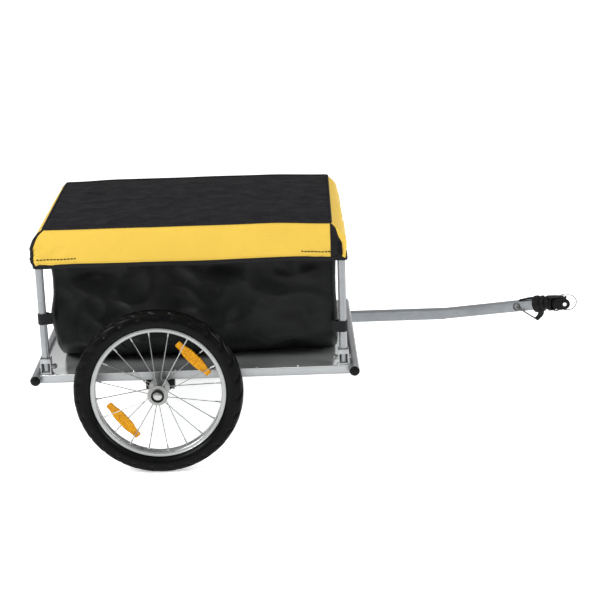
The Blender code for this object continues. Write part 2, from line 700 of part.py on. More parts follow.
def make_tow_bar_bracket():
    """A channel under the left front corner, open to the front and the sides, with the pivot bolt."""
    half = BAR_WIDTH / 2
    under_bar, over_bar = 0.7 * MM, 0.7 * MM
    roof = RAIL_BOTTOM - GAP
    floor = PIVOT_BOLT.z - half - under_bar - BRACKET_FLOOR
    low = Vector((BRACKET_X[0], PIVOT_BOLT.y - BRACKET_INWARD, floor))
    high = Vector((BRACKET_X[1], PIVOT_BOLT.y + BRACKET_OUTWARD, roof))
    overcut = 5 * MM
    slot_low = low + Vector((BRACKET_SHEET, -overcut, BRACKET_FLOOR))
    slot_high = Vector((high.x + overcut, high.y + overcut, PIVOT_BOLT.z + half + over_bar))
    bracket = cut(box("tow_bar_bracket", low, high), box("slot", slot_low, slot_high))
    reach = Vector((0, 0, 40 * MM))
    bore = rod("bore", PIVOT_BOLT_R + GAP, PIVOT_BOLT - reach, PIVOT_BOLT + reach, 16)
    bracket = cut(bracket, bore)
    notch_low = (PIVOT_BOLT.x + 7 * MM, low.y - overcut, PIVOT_BOLT.z)
    notch_high = (high.x + overcut, PIVOT_BOLT.y + STOP_PIN_R + 2 * GAP, roof + overcut)
    bracket = cut(bracket, box("notch", notch_low, notch_high))
    store(bracket, "black_steel", TRAILER, PIVOT_BOLT)

    head, tip = roof - PIVOT_BOLT.z + GAP, floor - PIVOT_BOLT.z - GAP
    head_r = 6.5 * MM
    outline = [
        (0, head + 5 * MM),
        (head_r, head + 5 * MM),
        (head_r, head),
        (PIVOT_BOLT_R, head),
        (PIVOT_BOLT_R, tip),
        (head_r, tip),
        (head_r, tip - 6 * MM),
        (0, tip - 6 * MM),
    ]
    bolt = turned("tow_bar_pivot_bolt", outline, Z_AXIS, PIVOT_BOLT, steps=12)
    store(bolt, "alloy", TRAILER, PIVOT_BOLT)


def square_tube(name, start, end, overrun=0):
    """A solid square length with its sides upright, between two points."""
    along = (end - start).normalized()
    sideways = Z_AXIS.cross(along).normalized()
    upward = along.cross(sideways)
    frame = Matrix.Identity(4)
    for column, direction in enumerate((along, sideways, upward)):
        frame.col[column][:3] = direction
    frame.translation = start
    half = BAR_WIDTH / 2
    length = (end - start).length + overrun
    shape = box(name, (0, -half, -half), (length, half, half))
    shape.data.transform(frame)
    return shape


def bar_axes():
    """The rising length's own directions: along it, across it and square to both."""
    along = (BAR_END - BAR_BEND).normalized()
    across = Z_AXIS.cross(along).normalized()
    return along, across, along.cross(across)


def axes_frame(across, up, out, origin):
    """A matrix that puts a flat outline's own axes along three directions."""
    frame = Matrix.Identity(4)
    for column, direction in enumerate((across, up, out)):
        frame.col[column][:3] = direction
    frame.translation = origin
    return frame


def make_tow_bar():
    pivot = make_empty("tow_bar_swing", PIVOT_BOLT, TRAILER)
    bar = square_tube("tow_bar", BAR_START, BAR_BEND, overrun=4 * MM)
    bar = join(bar, square_tube("rise", BAR_BEND, BAR_END, overrun=7 * MM))
    bar = soften(bar, 1.5 * MM)
    reach = Vector((0, 0, 30 * MM))
    bar = cut(bar, rod("bore", PIVOT_BOLT_R + GAP, PIVOT_BOLT - reach, PIVOT_BOLT + reach, 16))
    store(bar, "bar_steel", pivot, PIVOT_BOLT)

    top = PIVOT_BOLT.z + BAR_WIDTH / 2 + GAP
    foot = Vector((STOP_PIN_X, PIVOT_BOLT.y, top))
    pin = rod("tow_bar_stop_pin", STOP_PIN_R, foot, foot + STOP_PIN_HEIGHT * Z_AXIS, 12)
    store(pin, "alloy", pivot, foot)
    make_safety_leash(pivot)
    return pivot


def make_safety_leash(parent):
    """The ring on the tow bar, the spring hook on it and the webbing under the boot."""
    along, across, upward = bar_axes()
    ring_out = BAR_WIDTH / 2 + RING_WIRE + GAP
    ring_centre = BAR_END - RING_SETBACK * along - ring_out * across
    circle = arc((RING_R, 0), RING_WIRE, 0, -2 * math.pi, 6)[:-1]
    ring = turned("safety_ring", circle, across, ring_centre, steps=16, closed=True)
    store(ring, "alloy", parent, ring_centre)

    hook_out = ring_out + RING_WIRE + GAP + HOOK_WIRE
    hook_side = [(-46, 2), (-40, -3), (-30, -9), (-18, -19), (-8, -27), (4, -35)]
    route = [BAR_END + x * MM * along - hook_out * across + z * MM * upward for x, z in hook_side]
    store(pipe("snap_hook", route, HOOK_WIRE), "alloy", parent, route[0])

    strap_out = hook_out - HOOK_WIRE - GAP - SAFETY_STRAP_THICKNESS / 2
    outline = [(12, -15.5), (28, -15.5), (28, -22), (21, -30), (12, -38), (0, -40), (-3, -31), (8, -24)]
    outline = [(x * MM, z * MM) for x, z in outline]
    frame = axes_frame(along, upward, -across, BAR_END - strap_out * across)
    strap = plate("safety_strap", outline, SAFETY_STRAP_THICKNESS, frame)
    store(strap, "webbing", parent, BAR_END)


def make_coupler(bar):
    """The boot on the bar's end and the clevis in front of it, which roll round the bar together."""
    along, _, _ = bar_axes()
    roll = make_empty("coupler_roll", BAR_END - PIVOT_BOLT, bar)
    socket_r, socket_depth = 18.3 * MM, 8 * MM
    outline = [
        (0, BOOT_LENGTH),
        (12 * MM, BOOT_LENGTH),
        (17.5 * MM, BOOT_LENGTH - 2 * MM),
        (BOOT_R, BOOT_LENGTH - 6 * MM),
        (BOOT_R, 4 * MM),
        (19.3 * MM, 0),
        (socket_r, 0),
        (socket_r, socket_depth),
        (0, socket_depth),
    ]
    boot = turned("coupler_boot", outline, along, BAR_END, steps=24)
    store(boot, "rubber", roll, BAR_END)

    arm_end_r, taper_x = 10 * MM, -18 * MM
    depth, back = CLEVIS_HALF_DEPTH, -CLEVIS_BACK
    outline = arc((0, 0), arm_end_r, -math.pi / 2, math.pi / 2, 8)
    outline += [(taper_x, depth), (back, depth), (back, -depth), (taper_x, -depth)]
    frame = Matrix.Translation(PIN)
    clevis = plate("coupler_clevis", outline, 2 * CLEVIS_HALF_HEIGHT, frame)
    slot_low = PIN + Vector((back + 6 * MM, -20 * MM, -CLEVIS_GAP))
    slot_high = PIN + Vector((20 * MM, 20 * MM, CLEVIS_GAP))
    clevis = cut(clevis, box("slot", slot_low, slot_high))
    reach = Vector((0, 0, 30 * MM))
    clevis = cut(clevis, rod("bore", PIN_R + GAP, PIN - reach, PIN + reach, 16))
    neck_start = BAR_END + (BOOT_LENGTH + GAP) * along
    clevis = join(clevis, rod("neck", 8 * MM, neck_start, neck_start + 9 * MM * along, 16))
    store(clevis, "black_plastic", roll, PIN)

    head, head_r = CLEVIS_HALF_HEIGHT + GAP, 6.5 * MM
    tip = BAIL_R + 2.2 * MM
    outline = [
        (0, head + 4.5 * MM),
        (head_r - 1 * MM, head + 4.2 * MM),
        (head_r, head + 3.2 * MM),
        (head_r, head),
        (PIN_R, head),
        (PIN_R, -tip),
        (PIN_R - 1.5 * MM, -tip - 1.5 * MM),
        (0, -tip - 1.5 * MM),
    ]
    store(turned("quick_pin", outline, Z_AXIS, PIN, steps=12), "alloy", roll, PIN)
    return roll


def make_bail(roll):
    """The spring wire from the pin's head round to its tip."""
    swing = make_empty("bail_swing", PIN + BAIL_R * Z_AXIS - BAR_END, roll)
    side = [(8 * MM, BAIL_R)] + arc((BAIL_LEAD, 0), BAIL_R, math.pi / 2, -math.pi / 2, 8)
    side += [(PIN_R + GAP, -BAIL_R)]
    route = [PIN + Vector((x, 0, z)) for x, z in side]
    store(pipe("pin_bail", route, BAIL_WIRE), "alloy", swing, PIN + BAIL_R * Z_AXIS)


def make_axle_plate(roll):
    """The plate that the bicycle's axle holds, with the barrel that turns on the quick pin."""
    turn = make_empty("hitch_turn", PIN - BAR_END, roll)
    outline = arc((0, 0), 14 * MM, -math.pi / 2, math.pi / 2, 8)
    outline += arc((-17 * MM, 0), 13 * MM, math.pi / 2, 1.15 * math.pi, 6)
    outline += [(x * MM, z * MM) for x, z in ((-28, -13), (-26, -18), (-19, -18.5), (-14, -15))]
    thick = AXLE_PLATE_THICKNESS
    centre = PIN - AXLE_PLATE_SETBACK * Y_AXIS + AXLE_PLATE_RISE * Z_AXIS
    frame = axes_frame(X_AXIS, Z_AXIS, -Y_AXIS, centre)
    shape = plate("hitch_axle_plate", outline, thick, frame)
    barrel_half = CLEVIS_GAP - GAP
    barrel = rod("barrel", 9 * MM, PIN - barrel_half * Z_AXIS, PIN + barrel_half * Z_AXIS, 16)
    neck_low = PIN + Vector((-5 * MM, -AXLE_PLATE_SETBACK + 1 * MM, -9 * MM))
    neck_high = PIN + Vector((5 * MM, -3 * MM, 10.5 * MM))
    shape = join(shape, join(barrel, box("neck", neck_low, neck_high)))
    reach = Vector((0, 0, 30 * MM))
    shape = cut(shape, rod("bore", PIN_R + GAP, PIN - reach, PIN + reach, 16))
    hole_start, hole_end = centre - thick * Y_AXIS, centre + 14 * MM * Y_AXIS
    shape = cut(shape, rod("axle_hole", AXLE_HOLE_R, hole_start, hole_end, 20))
    store(shape, "black_steel", turn, PIN)


clear_scene()
MATERIALS = make_materials()
PARTS = make_collection("cargo_trailer")
TRAILER = make_empty("trailer", (LENGTHWISE_SHIFT, 0, 0))
make_end_tubes()
make_side_rails()
make_floor()
for hoop_side in SIDES:
    for hoop_end in ENDS:
        make_hinge(hoop_side, hoop_end)
    make_hoop(hoop_side)
make_bag()
make_cover()
make_axle_beam()
for wheel_side in SIDES:
    make_axle_mount(wheel_side)
    make_wheel(wheel_side)
make_tow_bar_bracket()
TOW_BAR = make_tow_bar()
COUPLER = make_coupler(TOW_BAR)
make_bail(COUPLER)
make_axle_plate(COUPLER)
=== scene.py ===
"""The looks of the folding bicycle cargo trailer, around its CAD frame.

Metres, +X towards the hitch, +Y to the trailer's left, +Z up. Lengths in MM are millimetres."""

import math

import bmesh
import bpy
import numpy as np
from mathutils import Matrix, Vector, noise


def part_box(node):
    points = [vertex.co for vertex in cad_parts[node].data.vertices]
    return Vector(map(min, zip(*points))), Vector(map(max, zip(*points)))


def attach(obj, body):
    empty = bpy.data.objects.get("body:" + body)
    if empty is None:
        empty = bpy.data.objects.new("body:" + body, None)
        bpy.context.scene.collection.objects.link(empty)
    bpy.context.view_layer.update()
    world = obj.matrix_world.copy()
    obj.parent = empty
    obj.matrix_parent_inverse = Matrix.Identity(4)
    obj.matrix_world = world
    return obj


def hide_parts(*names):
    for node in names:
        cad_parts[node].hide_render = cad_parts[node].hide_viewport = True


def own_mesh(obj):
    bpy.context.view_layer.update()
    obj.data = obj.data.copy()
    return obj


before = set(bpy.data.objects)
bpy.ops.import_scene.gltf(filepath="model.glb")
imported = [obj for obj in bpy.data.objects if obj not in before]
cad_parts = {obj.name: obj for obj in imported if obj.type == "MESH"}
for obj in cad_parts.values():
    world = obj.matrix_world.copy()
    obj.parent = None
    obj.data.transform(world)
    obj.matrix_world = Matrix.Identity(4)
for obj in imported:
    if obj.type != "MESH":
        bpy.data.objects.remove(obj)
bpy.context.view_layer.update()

MM = 0.001
SIDES = {"right": -1, "left": 1}
ENDS = {"rear": -1, "front": 1}
X_AXIS, Y_AXIS, Z_AXIS = np.eye(3)


# ---- shapes


def unit(vector):
    vector = np.asarray(vector, float)
    return vector / np.linalg.norm(vector)


def node_box(node):
    """A CAD node's lowest and highest corners, as arrays."""
    return (np.array(corner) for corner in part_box(node))


def run_of(path):
    """The distance along a path at each of its points."""
    return np.concatenate([[0], np.cumsum(np.linalg.norm(np.diff(path, axis=0), axis=1))])


def point_at(path, run, s):
    return np.array([np.interp(s, run, path[:, k]) for k in range(3)])


def wave(x, y, z, scale):
    """Smooth noise between about -1 and 1, with features about 1/scale metres wide."""
    return noise.noise(Vector((x * scale, y * scale, z * scale)))


def smooth(value, start, end):
    """0 before start, 1 after end, and an S curve between them."""
    t = min(max((value - start) / (end - start), 0), 1)
    return t * t * (3 - 2 * t)


class Shape:
    """The points, faces, material numbers and cloth coordinates of one piece."""

    def __init__(self):
        self.points, self.faces, self.slots, self.uvs = [], [], [], []

    def add(self, points, faces, slot=0, uvs=None):
        first = len(self.points)
        self.points += [tuple(map(float, p)) for p in points]
        self.faces += [[first + i for i in f] for f in faces]
        self.slots += [slot] * len(faces)
        if uvs is None:
            uvs = [[(points[i][0] + points[i][1], points[i][2]) for i in f] for f in faces]
        self.uvs += uvs

    def rows(self, rows, across_closed=False, along_closed=False, slot=0):
        """Rows of points, all equally many, joined into one surface."""
        rows = np.asarray(rows, float)
        n, m = rows.shape[:2]
        across, along = (run_of([*line, line[0]]) for line in (rows[n // 2], rows[:, m // 2]))
        faces, uvs = [], []
        for i in range(n if along_closed else n - 1):
            for j in range(m if across_closed else m - 1):
                i2, j2 = (i + 1) % n, (j + 1) % m
                faces.append([i * m + j, i2 * m + j, i2 * m + j2, i * m + j2])
                u, v, u2, v2 = across[j], along[i], across[j + 1], along[i + 1]
                uvs.append([(u, v), (u, v2), (u2, v2), (u2, v)])
        self.add(rows.reshape(-1, 3), faces, slot, uvs)

    def sweep(self, path, section, side=None, closed=False, scale=None):
        """A section of (across, up) points carried along a path. side fixes what across means."""
        path, section = np.asarray(path, float), np.asarray(section, float)
        if closed:
            tangents = np.roll(path, -1, 0) - np.roll(path, 1, 0)
        else:
            tangents = np.gradient(path, axis=0)
        tangents /= np.linalg.norm(tangents, axis=1)[:, None]
        if side is None:
            guess = Z_AXIS if abs(tangents[0][2]) < 0.9 else X_AXIS
            across = [unit(np.cross(guess, tangents[0]))]
            for t in tangents[1:]:
                across.append(unit(across[-1] - (across[-1] @ t) * t))
            across = np.array(across)
        else:
            across = np.broadcast_to(np.asarray(side, float), path.shape)
            across = across - (across * tangents).sum(1)[:, None] * tangents
            across = across / np.linalg.norm(across, axis=1)[:, None]
        up = np.cross(tangents, across)
        size = np.ones(len(path)) if scale is None else np.asarray(scale, float)
        spread = section[None, :, 0, None] * across[:, None] + section[None, :, 1, None] * up[:, None]
        rows = path[:, None] + spread * size[:, None, None]
        self.rows(rows, across_closed=True, along_closed=closed)
        if not closed:
            for row in (rows[0], rows[-1]):
                self.add(row, [list(range(len(section)))])

    def lathe(self, outline, origin, axis, steps, closed=False):
        """An outline of (out, along) points in millimetres, turned about an axis."""
        axis = unit(axis)
        u = unit(np.cross(axis, Z_AXIS if abs(axis[2]) < 0.9 else X_AXIS))
        v = np.cross(axis, u)
        angles = np.linspace(0, 2 * math.pi, steps, endpoint=False)
        out, along = (np.array(outline, float) * MM).T
        spin = np.cos(angles)[:, None] * u + np.sin(angles)[:, None] * v
        rows = np.asarray(origin) + out[None, :, None] * spin[:, None] + along[None, :, None] * axis
        self.rows(rows, across_closed=closed, along_closed=True)


def circle(radius, count):
    angles = np.linspace(0, 2 * math.pi, count, endpoint=False)
    return [(radius * math.cos(a), radius * math.sin(a)) for a in angles]


def strip(width, thickness, slices):
    """The section of a flat strap with rounded edges."""
    half, thin = width / 2 - thickness / 2, thickness / 2
    across = np.linspace(-half, half, slices + 1)
    lower = [(x, -thin) for x in across]
    upper = [(x, thin) for x in across[::-1]]
    edge = half + thin * 0.8
    return lower + [(edge, 0)] + upper + [(-edge, 0)]


def rounded_plan(half_x, half_y, radius, centre, z, long_count, short_count, corner_count):
    """Points round a rectangle with rounded corners, anticlockwise from the middle of the +X end.
    Equal counts on every call give rings that match point by point."""
    radius = max(min(radius, half_x, half_y), 1e-5)
    points = []
    flat_x, flat_y = half_x - radius, half_y - radius
    corners = [(1, 1, 0), (-1, 1, 90), (-1, -1, 180), (1, -1, 270)]
    sides = [short_count, long_count, short_count, long_count]
    for k, (sx, sy, first) in enumerate(corners):
        for i in range(corner_count + 1):
            a = math.radians(first + 90 * i / corner_count)
            points.append((sx * flat_x + radius * math.cos(a), sy * flat_y + radius * math.sin(a)))
        nx, ny, _ = corners[(k + 1) % 4]
        a = math.radians(first + 90)
        start = np.array(points[-1])
        end = np.array([nx * flat_x + radius * math.cos(a), ny * flat_y + radius * math.sin(a)])
        count = sides[(k + 1) % 4]
        for i in range(1, count):
            points.append(tuple(start + (end - start) * i / count))
    return np.array([(centre[0] + x, centre[1] + y, z) for x, y in points])


def piece(name, shape, materials, body, replaces=(), thickness=0, sharp=40):
    """Makes the object, with smooth shading that breaks at edges sharper than the angle."""
    merge = 0.002 * MM
    mesh = bpy.data.meshes.new(name)
    mesh.from_pydata(shape.points, [], shape.faces)
    for polygon, number in zip(mesh.polygons, shape.slots):
        polygon.material_index = number
        polygon.use_smooth = True
    layer = mesh.uv_layers.new(name="cloth")
    layer.data.foreach_set("uv", [c for face in shape.uvs for corner in face for c in corner])
    bm = bmesh.new()
    bm.from_mesh(mesh)
    bmesh.ops.remove_doubles(bm, verts=bm.verts, dist=merge)
    bmesh.ops.dissolve_degenerate(bm, edges=bm.edges, dist=merge / 2)
    bmesh.ops.recalc_face_normals(bm, faces=bm.faces)
    for edge in bm.edges:
        edge.smooth = edge.calc_face_angle(0) < math.radians(sharp)
    bm.to_mesh(mesh)
    bm.free()
    for material in materials if isinstance(materials, list) else [materials]:
        mesh.materials.append(material)
    obj = bpy.data.objects.new(name, mesh)
    bpy.context.scene.collection.objects.link(obj)
    if thickness:
        solid = obj.modifiers.new("thickness", "SOLIDIFY")
        solid.thickness, solid.offset = thickness, -1
    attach(obj, body)
    if replaces:
        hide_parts(*replaces)
    return obj


# ---- materials


class Nodes:
    """Short names for the shader nodes that the materials below are made of."""

    def __init__(self, name, colour, roughness, metallic=0.0, **constants):
        self.material = bpy.data.materials.new(name)
        self.material.use_nodes = True
        self.tree = self.material.node_tree
        self.shader = self.tree.nodes["Principled BSDF"]
        self.colour, self.roughness = colour, roughness
        self.set("Base Color", (*colour, 1))
        self.set("Roughness", roughness)
        self.set("Metallic", metallic)
        for socket, value in constants.items():
            self.set(socket.replace("_", " "), value)

    def set(self, socket, value):
        self.shader.inputs[socket].default_value = value

    def link(self, value, socket):
        if isinstance(value, bpy.types.NodeSocket):
            self.tree.links.new(value, socket)
        else:
            socket.default_value = value

    def node(self, kind, inputs=None, **settings):
        node = self.tree.nodes.new(kind)
        for key, value in settings.items():
            setattr(node, key, value)
        for key, value in (inputs or {}).items():
            self.link(value, node.inputs[key])
        return node

    def place(self, scale=(1, 1, 1)):
        """The object's own coordinates in metres, stretched by scale."""
        coordinates = self.node("ShaderNodeTexCoord").outputs["Object"]
        return self.node("ShaderNodeMapping", {"Vector": coordinates, "Scale": scale}).outputs[0]

    def noise(self, scale, detail, stretch=(1, 1, 1), distortion=0.0):
        inputs = {"Vector": self.place(stretch), "Scale": scale, "Detail": detail, "Distortion": distortion}
        return self.node("ShaderNodeTexNoise", inputs).outputs["Fac"]

    def math(self, operation, a, b):
        return self.node("ShaderNodeMath", {0: a, 1: b}, operation=operation).outputs[0]

    def span(self, value, low, high, out_low, out_high):
        """value from low..high turned into out_low..out_high, and held at the ends."""
        inputs = {"Value": value, "From Min": low, "From Max": high, "To Min": out_low, "To Max": out_high}
        return self.node("ShaderNodeMapRange", inputs, clamp=True).outputs[0]

    def mix(self, share, a, b):
        node = self.node("ShaderNodeMix", data_type="RGBA", clamp_factor=True)
        self.link(share, node.inputs[0])
        for number, colour in ((6, a), (7, b)):
            solid = not isinstance(colour, bpy.types.NodeSocket)
            self.link((*colour, 1) if solid else colour, node.inputs[number])
        return node.outputs[2]

    def shade(self, share, darker, lighter):
        """The base colour times a factor that runs from darker to lighter."""
        low = [min(c * darker, 1) for c in self.colour]
        high = [min(c * lighter, 1) for c in self.colour]
        return self.mix(share, low, high)

    def paint(self, colour):
        self.link(colour, self.shader.inputs["Base Color"])

    def gloss(self, marks, smoother, rougher, start=0.3):
        """Roughness that runs from smoother to rougher times the material's own as marks grows."""
        low, high = self.roughness * smoother, self.roughness * rougher
        self.link(self.span(marks, start, 0.7, low, high), self.shader.inputs["Roughness"])

    def bump(self, height, depth, strength, normal=None):
        """A bump of real depth in metres. Returns the normal, so that bumps can follow each other."""
        inputs = {"Height": height, "Distance": depth, "Strength": strength}
        node = self.node("ShaderNodeBump", inputs)
        if normal is not None:
            self.link(normal, node.inputs["Normal"])
        self.link(node.outputs[0], self.shader.inputs["Normal"])
        return node.outputs[0]

    def threads(self, pitch, axis):
        """Parallel threads, one every pitch metres, along the cloth."""
        place = self.node("ShaderNodeUVMap", uv_map="cloth").outputs[0]
        inputs = {"Vector": place, "Scale": math.pi / 10 / pitch, "Distortion": 0.0}
        node = self.node("ShaderNodeTexWave", inputs, wave_type="BANDS", bands_direction=axis)
        return node.outputs["Fac"]


def painted_metal(name, colour, roughness, metallic, grain=(1, 1, 1), peel=0.35):
    """Smooth paint or plating, with faint mottling, handling marks and a fine orange peel."""
    m = Nodes(name, colour, roughness, metallic, Coat_Weight=0.15, Coat_Roughness=0.25)
    m.paint(m.shade(m.noise(9, 4, grain), 0.86, 1.12))
    m.gloss(m.noise(55, 6, grain, 0.6), 0.82, 1.3, 0.35)
    m.bump(m.noise(420, 2), 0.05 * MM, peel)
    return m.material


def brushed_alloy(name, colour, roughness):
    """Bare aluminium or plated steel, with fine scratches."""
    m = Nodes(name, colour, roughness, 1.0)
    m.paint(m.shade(m.noise(22, 5), 0.8, 1.1))
    m.gloss(m.noise(160, 4), 0.7, 1.4)
    m.bump(m.noise(900, 3, (1, 4, 1)), 0.03 * MM, 0.4)
    return m.material


def moulded_plastic(name, colour, roughness):
    """Dull plastic, rubber, thread or powder coat, with a fine grain."""
    m = Nodes(name, colour, roughness, Specular_IOR_Level=0.12)
    m.paint(m.shade(m.noise(30, 4), 0.75, 1.3))
    m.gloss(m.noise(200, 3), 0.85, 1.2)
    m.bump(m.noise(1100, 3), 0.06 * MM, 0.5)
    return m.material


def tyre_rubber(name, colour, roughness):
    """Dull black rubber with a little dust and fine mould lines."""
    m = Nodes(name, colour, roughness, Specular_IOR_Level=0.09)
    dust = m.span(m.noise(16, 6, (1, 1, 1), 0.5), 0.5, 0.78, 0.0, 0.1)
    worn = m.shade(m.noise(70, 5), 0.75, 1.35)
    m.paint(m.mix(dust, worn, (0.006, 0.006, 0.0055)))
    m.gloss(m.noise(45, 5), 0.8, 1.2)
    m.bump(m.noise(750, 4), 0.12 * MM, 0.6)
    return m.material


NYLON_PITCH = 1.1 * MM


def nylon(name, colour, roughness, crease, tint, gloss):
    """Coated woven nylon: crossed threads, a soft crumple and a tint that varies between two shares."""
    m = Nodes(name, colour, roughness, Specular_IOR_Level=gloss)
    crumple = m.noise(26, 6, (1, 1, 1), 0.8)
    m.paint(m.shade(m.noise(13, 5), *tint))
    m.gloss(crumple, 0.82, 1.18)
    weave = m.math("MULTIPLY", m.threads(NYLON_PITCH, "X"), m.threads(NYLON_PITCH, "Y"))
    folds = m.bump(crumple, 3.0 * MM * crease, 0.5)
    m.bump(weave, 0.18 * MM, 0.5, folds)
    return m.material


def webbing_cloth(name, colour):
    """Tape with heavy crosswise ribs."""
    m = Nodes(name, colour, 0.75, Sheen_Weight=0.04, Sheen_Roughness=0.5, Specular_IOR_Level=0.2)
    m.paint(m.shade(m.noise(60, 5), 0.6, 1.7))
    ribs = m.math("ADD", m.threads(1.4 * MM, "Y"), m.math("MULTIPLY", m.threads(2.2 * MM, "X"), 0.5))
    m.bump(ribs, 0.3 * MM, 0.8)
    return m.material


def amber_plastic(name, lit, dark):
    """Amber plastic, lit in the middle of each small prism and dark between them."""
    m = Nodes(name, lit, 0.22, Specular_IOR_Level=0.15)
    cells = m.node("ShaderNodeTexVoronoi", {"Vector": m.place(), "Scale": 330.0}, feature="F1")
    distance = cells.outputs["Distance"]
    m.paint(m.mix(m.span(distance, 0.1, 0.7, 0, 1), lit, dark))
    m.gloss(m.noise(120, 3), 0.682, 1.455)
    m.bump(distance, 0.5 * MM, 0.5)
    return m.material


STEEL = painted_metal("silver_paint", (0.34, 0.35, 0.36), 0.34, 0.75)
SHEET_STEEL = painted_metal("silver_sheet", (0.74, 0.76, 0.76), 0.2, 0.85, (1, 0.25, 1))
# The same silver paint as STEEL, made darker: painted shade on the hoops' posts.
HOOP_STEEL_SHADED = painted_metal("hoop_paint_shaded", (0.26, 0.27, 0.28), 0.34, 0.75)
BAR_STEEL = painted_metal("bar_paint", (0.24, 0.255, 0.27), 0.36, 0.6, (1, 1, 1), 0.03)
ALLOY = brushed_alloy("plated_steel", (0.4, 0.405, 0.4), 0.28)
HUB_ALLOY = brushed_alloy("hub_alloy", (0.26, 0.265, 0.26), 0.3)
WIRE = brushed_alloy("spring_wire", (0.12, 0.12, 0.115), 0.3)
RIM_ALLOY = painted_metal("rim_alloy", (0.33, 0.34, 0.34), 0.3, 0.9, (1, 1, 1), 0.08)
BRIGHT = brushed_alloy("bright_plating", (0.8, 0.8, 0.79), 0.14)
DARK_NUT = brushed_alloy("dark_zinc", (0.2, 0.2, 0.205), 0.32)
BLACK_STEEL = moulded_plastic("black_powder_coat", (0.0035, 0.0035, 0.004), 0.45)
BLACK_PLASTIC = moulded_plastic("black_plastic", (0.0025, 0.0025, 0.003), 0.42)
RUBBER = tyre_rubber("tyre_rubber", (0.0008, 0.0010, 0.0009), 0.36)
BOOT_RUBBER = moulded_plastic("boot_rubber", (0.005, 0.005, 0.0055), 0.5)
AMBER = amber_plastic("amber_reflector", (0.72, 0.37, 0.004), (0.45, 0.17, 0.001))
BAG_CLOTH = nylon("black_nylon", (0.0026, 0.0029, 0.0032), 0.4, 1.0, (0.8, 1.25), 0.14)
TOP_CLOTH = nylon("black_cover_nylon", (0.0066, 0.0057, 0.0072), 0.6, 0.012, (0.97, 1.03), 0.06)
YELLOW_CLOTH = nylon("yellow_nylon", (0.635, 0.425, 0.062), 0.55, 1.2, (0.93, 1.05), 0.15)
BINDING = webbing_cloth("black_binding", (0.004, 0.004, 0.0045))
WEBBING = webbing_cloth("black_webbing", (0.005, 0.006, 0.0065))
THREAD = moulded_plastic("black_thread", (0.008, 0.007, 0.005), 0.7)
GREY_THREAD = moulded_plastic("grey_thread", (0.06, 0.06, 0.06), 0.7)
YELLOW_THREAD = moulded_plastic("yellow_thread", (0.5, 0.3, 0.03), 0.7)


# ---- cad parts that keep their shape


def finish_cad(node, material, bevel, angle):
    """Gives a CAD node its material, joined faces and, where it is sheet or bar, eased edges."""
    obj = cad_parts[node]
    obj.data.materials.clear()
    obj.data.materials.append(material)
    for name in ("custom_normal", "sharp_edge", "sharp_face"):
        attribute = obj.data.attributes.get(name)
        if attribute is not None:
            obj.data.attributes.remove(attribute)
    for polygon in obj.data.polygons:
        polygon.use_smooth = True
    weld = obj.modifiers.new("weld", "WELD")
    weld.merge_threshold = 0.01 * MM
    if bevel:
        eased = obj.modifiers.new("eased_edges", "BEVEL")
        eased.width, eased.segments = bevel, 2
        eased.limit_method, eased.angle_limit = "ANGLE", math.radians(angle)
        eased.harden_normals = False
    split = obj.modifiers.new("sharp_edges", "EDGE_SPLIT")
    split.split_angle = math.radians(angle if not bevel else 50)


def finish_all_cad():
    # Material, bevel in millimetres, smoothing angle, and how the names of its nodes start
    finishes = [
        (STEEL, 0, 50, ("end_tube",)),
        (STEEL, 0.35, 35, ("hinge_bracket",)),
        (STEEL, 0.6, 35, ("side_rail",)),
        # The hoops take the darkened copy of the silver paint, which is painted shade.
        (HOOP_STEEL_SHADED, 0, 60, ("hoop_right", "hoop_left")),
        (SHEET_STEEL, 0.3, 35, ("floor_plate",)),
        (BLACK_STEEL, 0.5, 35, ("axle_receiver", "axle_beam", "hitch_axle_plate")),
        (BLACK_STEEL, 0.4, 35, ("tow_bar_bracket",)),
        (BLACK_STEEL, 0, 35, ("bearing_inner",)),
        (BLACK_PLASTIC, 0, 35, ("end_cap",)),
        (BLACK_PLASTIC, 1.0, 35, ("coupler_clevis",)),
        (ALLOY, 0, 35, ("hinge_bolt", "axle_right", "axle_left", "release_button")),
        (HUB_ALLOY, 0, 55, ("hub",)),
        (DARK_NUT, 0, 35, ("bearing_outer",)),
        (RUBBER, 0, 60, ("inner_tube",)),
        (BRIGHT, 0, 35, ("tow_bar_pivot_bolt", "tow_bar_stop_pin", "quick_pin")),
        (WIRE, 0, 70, ("safety_ring", "snap_hook", "pin_bail")),
    ]
    for material, bevel, angle, starts in finishes:
        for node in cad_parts:
            if node.startswith(starts):
                finish_cad(node, material, bevel * MM, angle)
    finish_cad("tow_bar", BAR_STEEL, 0.3 * MM, 35)


# ---- cover

TRAY_X = -0.293
COVER_TOP_Z, COVER_HEM_Z = 0.582, 0.4945
TOP_HALF_X, TOP_HALF_Y = 0.342, 0.2665
COVER_CORNER_R = 8.5 * MM
COVER_STEPS = COVER_LONG, COVER_SHORT, COVER_CORNER = 72, 54, 8
SKIRT_ROWS, TOP_ROWS = 26, 20
# How far the skirt stands out beyond the top's edge, from the top down to the hem.
REAR_BULGE = [0.0, 0.0135, 0.0205, 0.0245, 0.027, 0.0285, 0.029, 0.0275, 0.0255]
FRONT_BULGE = [0.0, 0.0115, 0.0185, 0.0225, 0.0248, 0.0258, 0.0261, 0.0261, 0.026]
SIDE_BULGE = [0.0, 0.0028, 0.0042, 0.005, 0.0054, 0.0056, 0.0056, 0.0054, 0.0052]


def bulge_at(table, t):
    return float(np.interp(t, np.linspace(0, 1, len(table)), table))


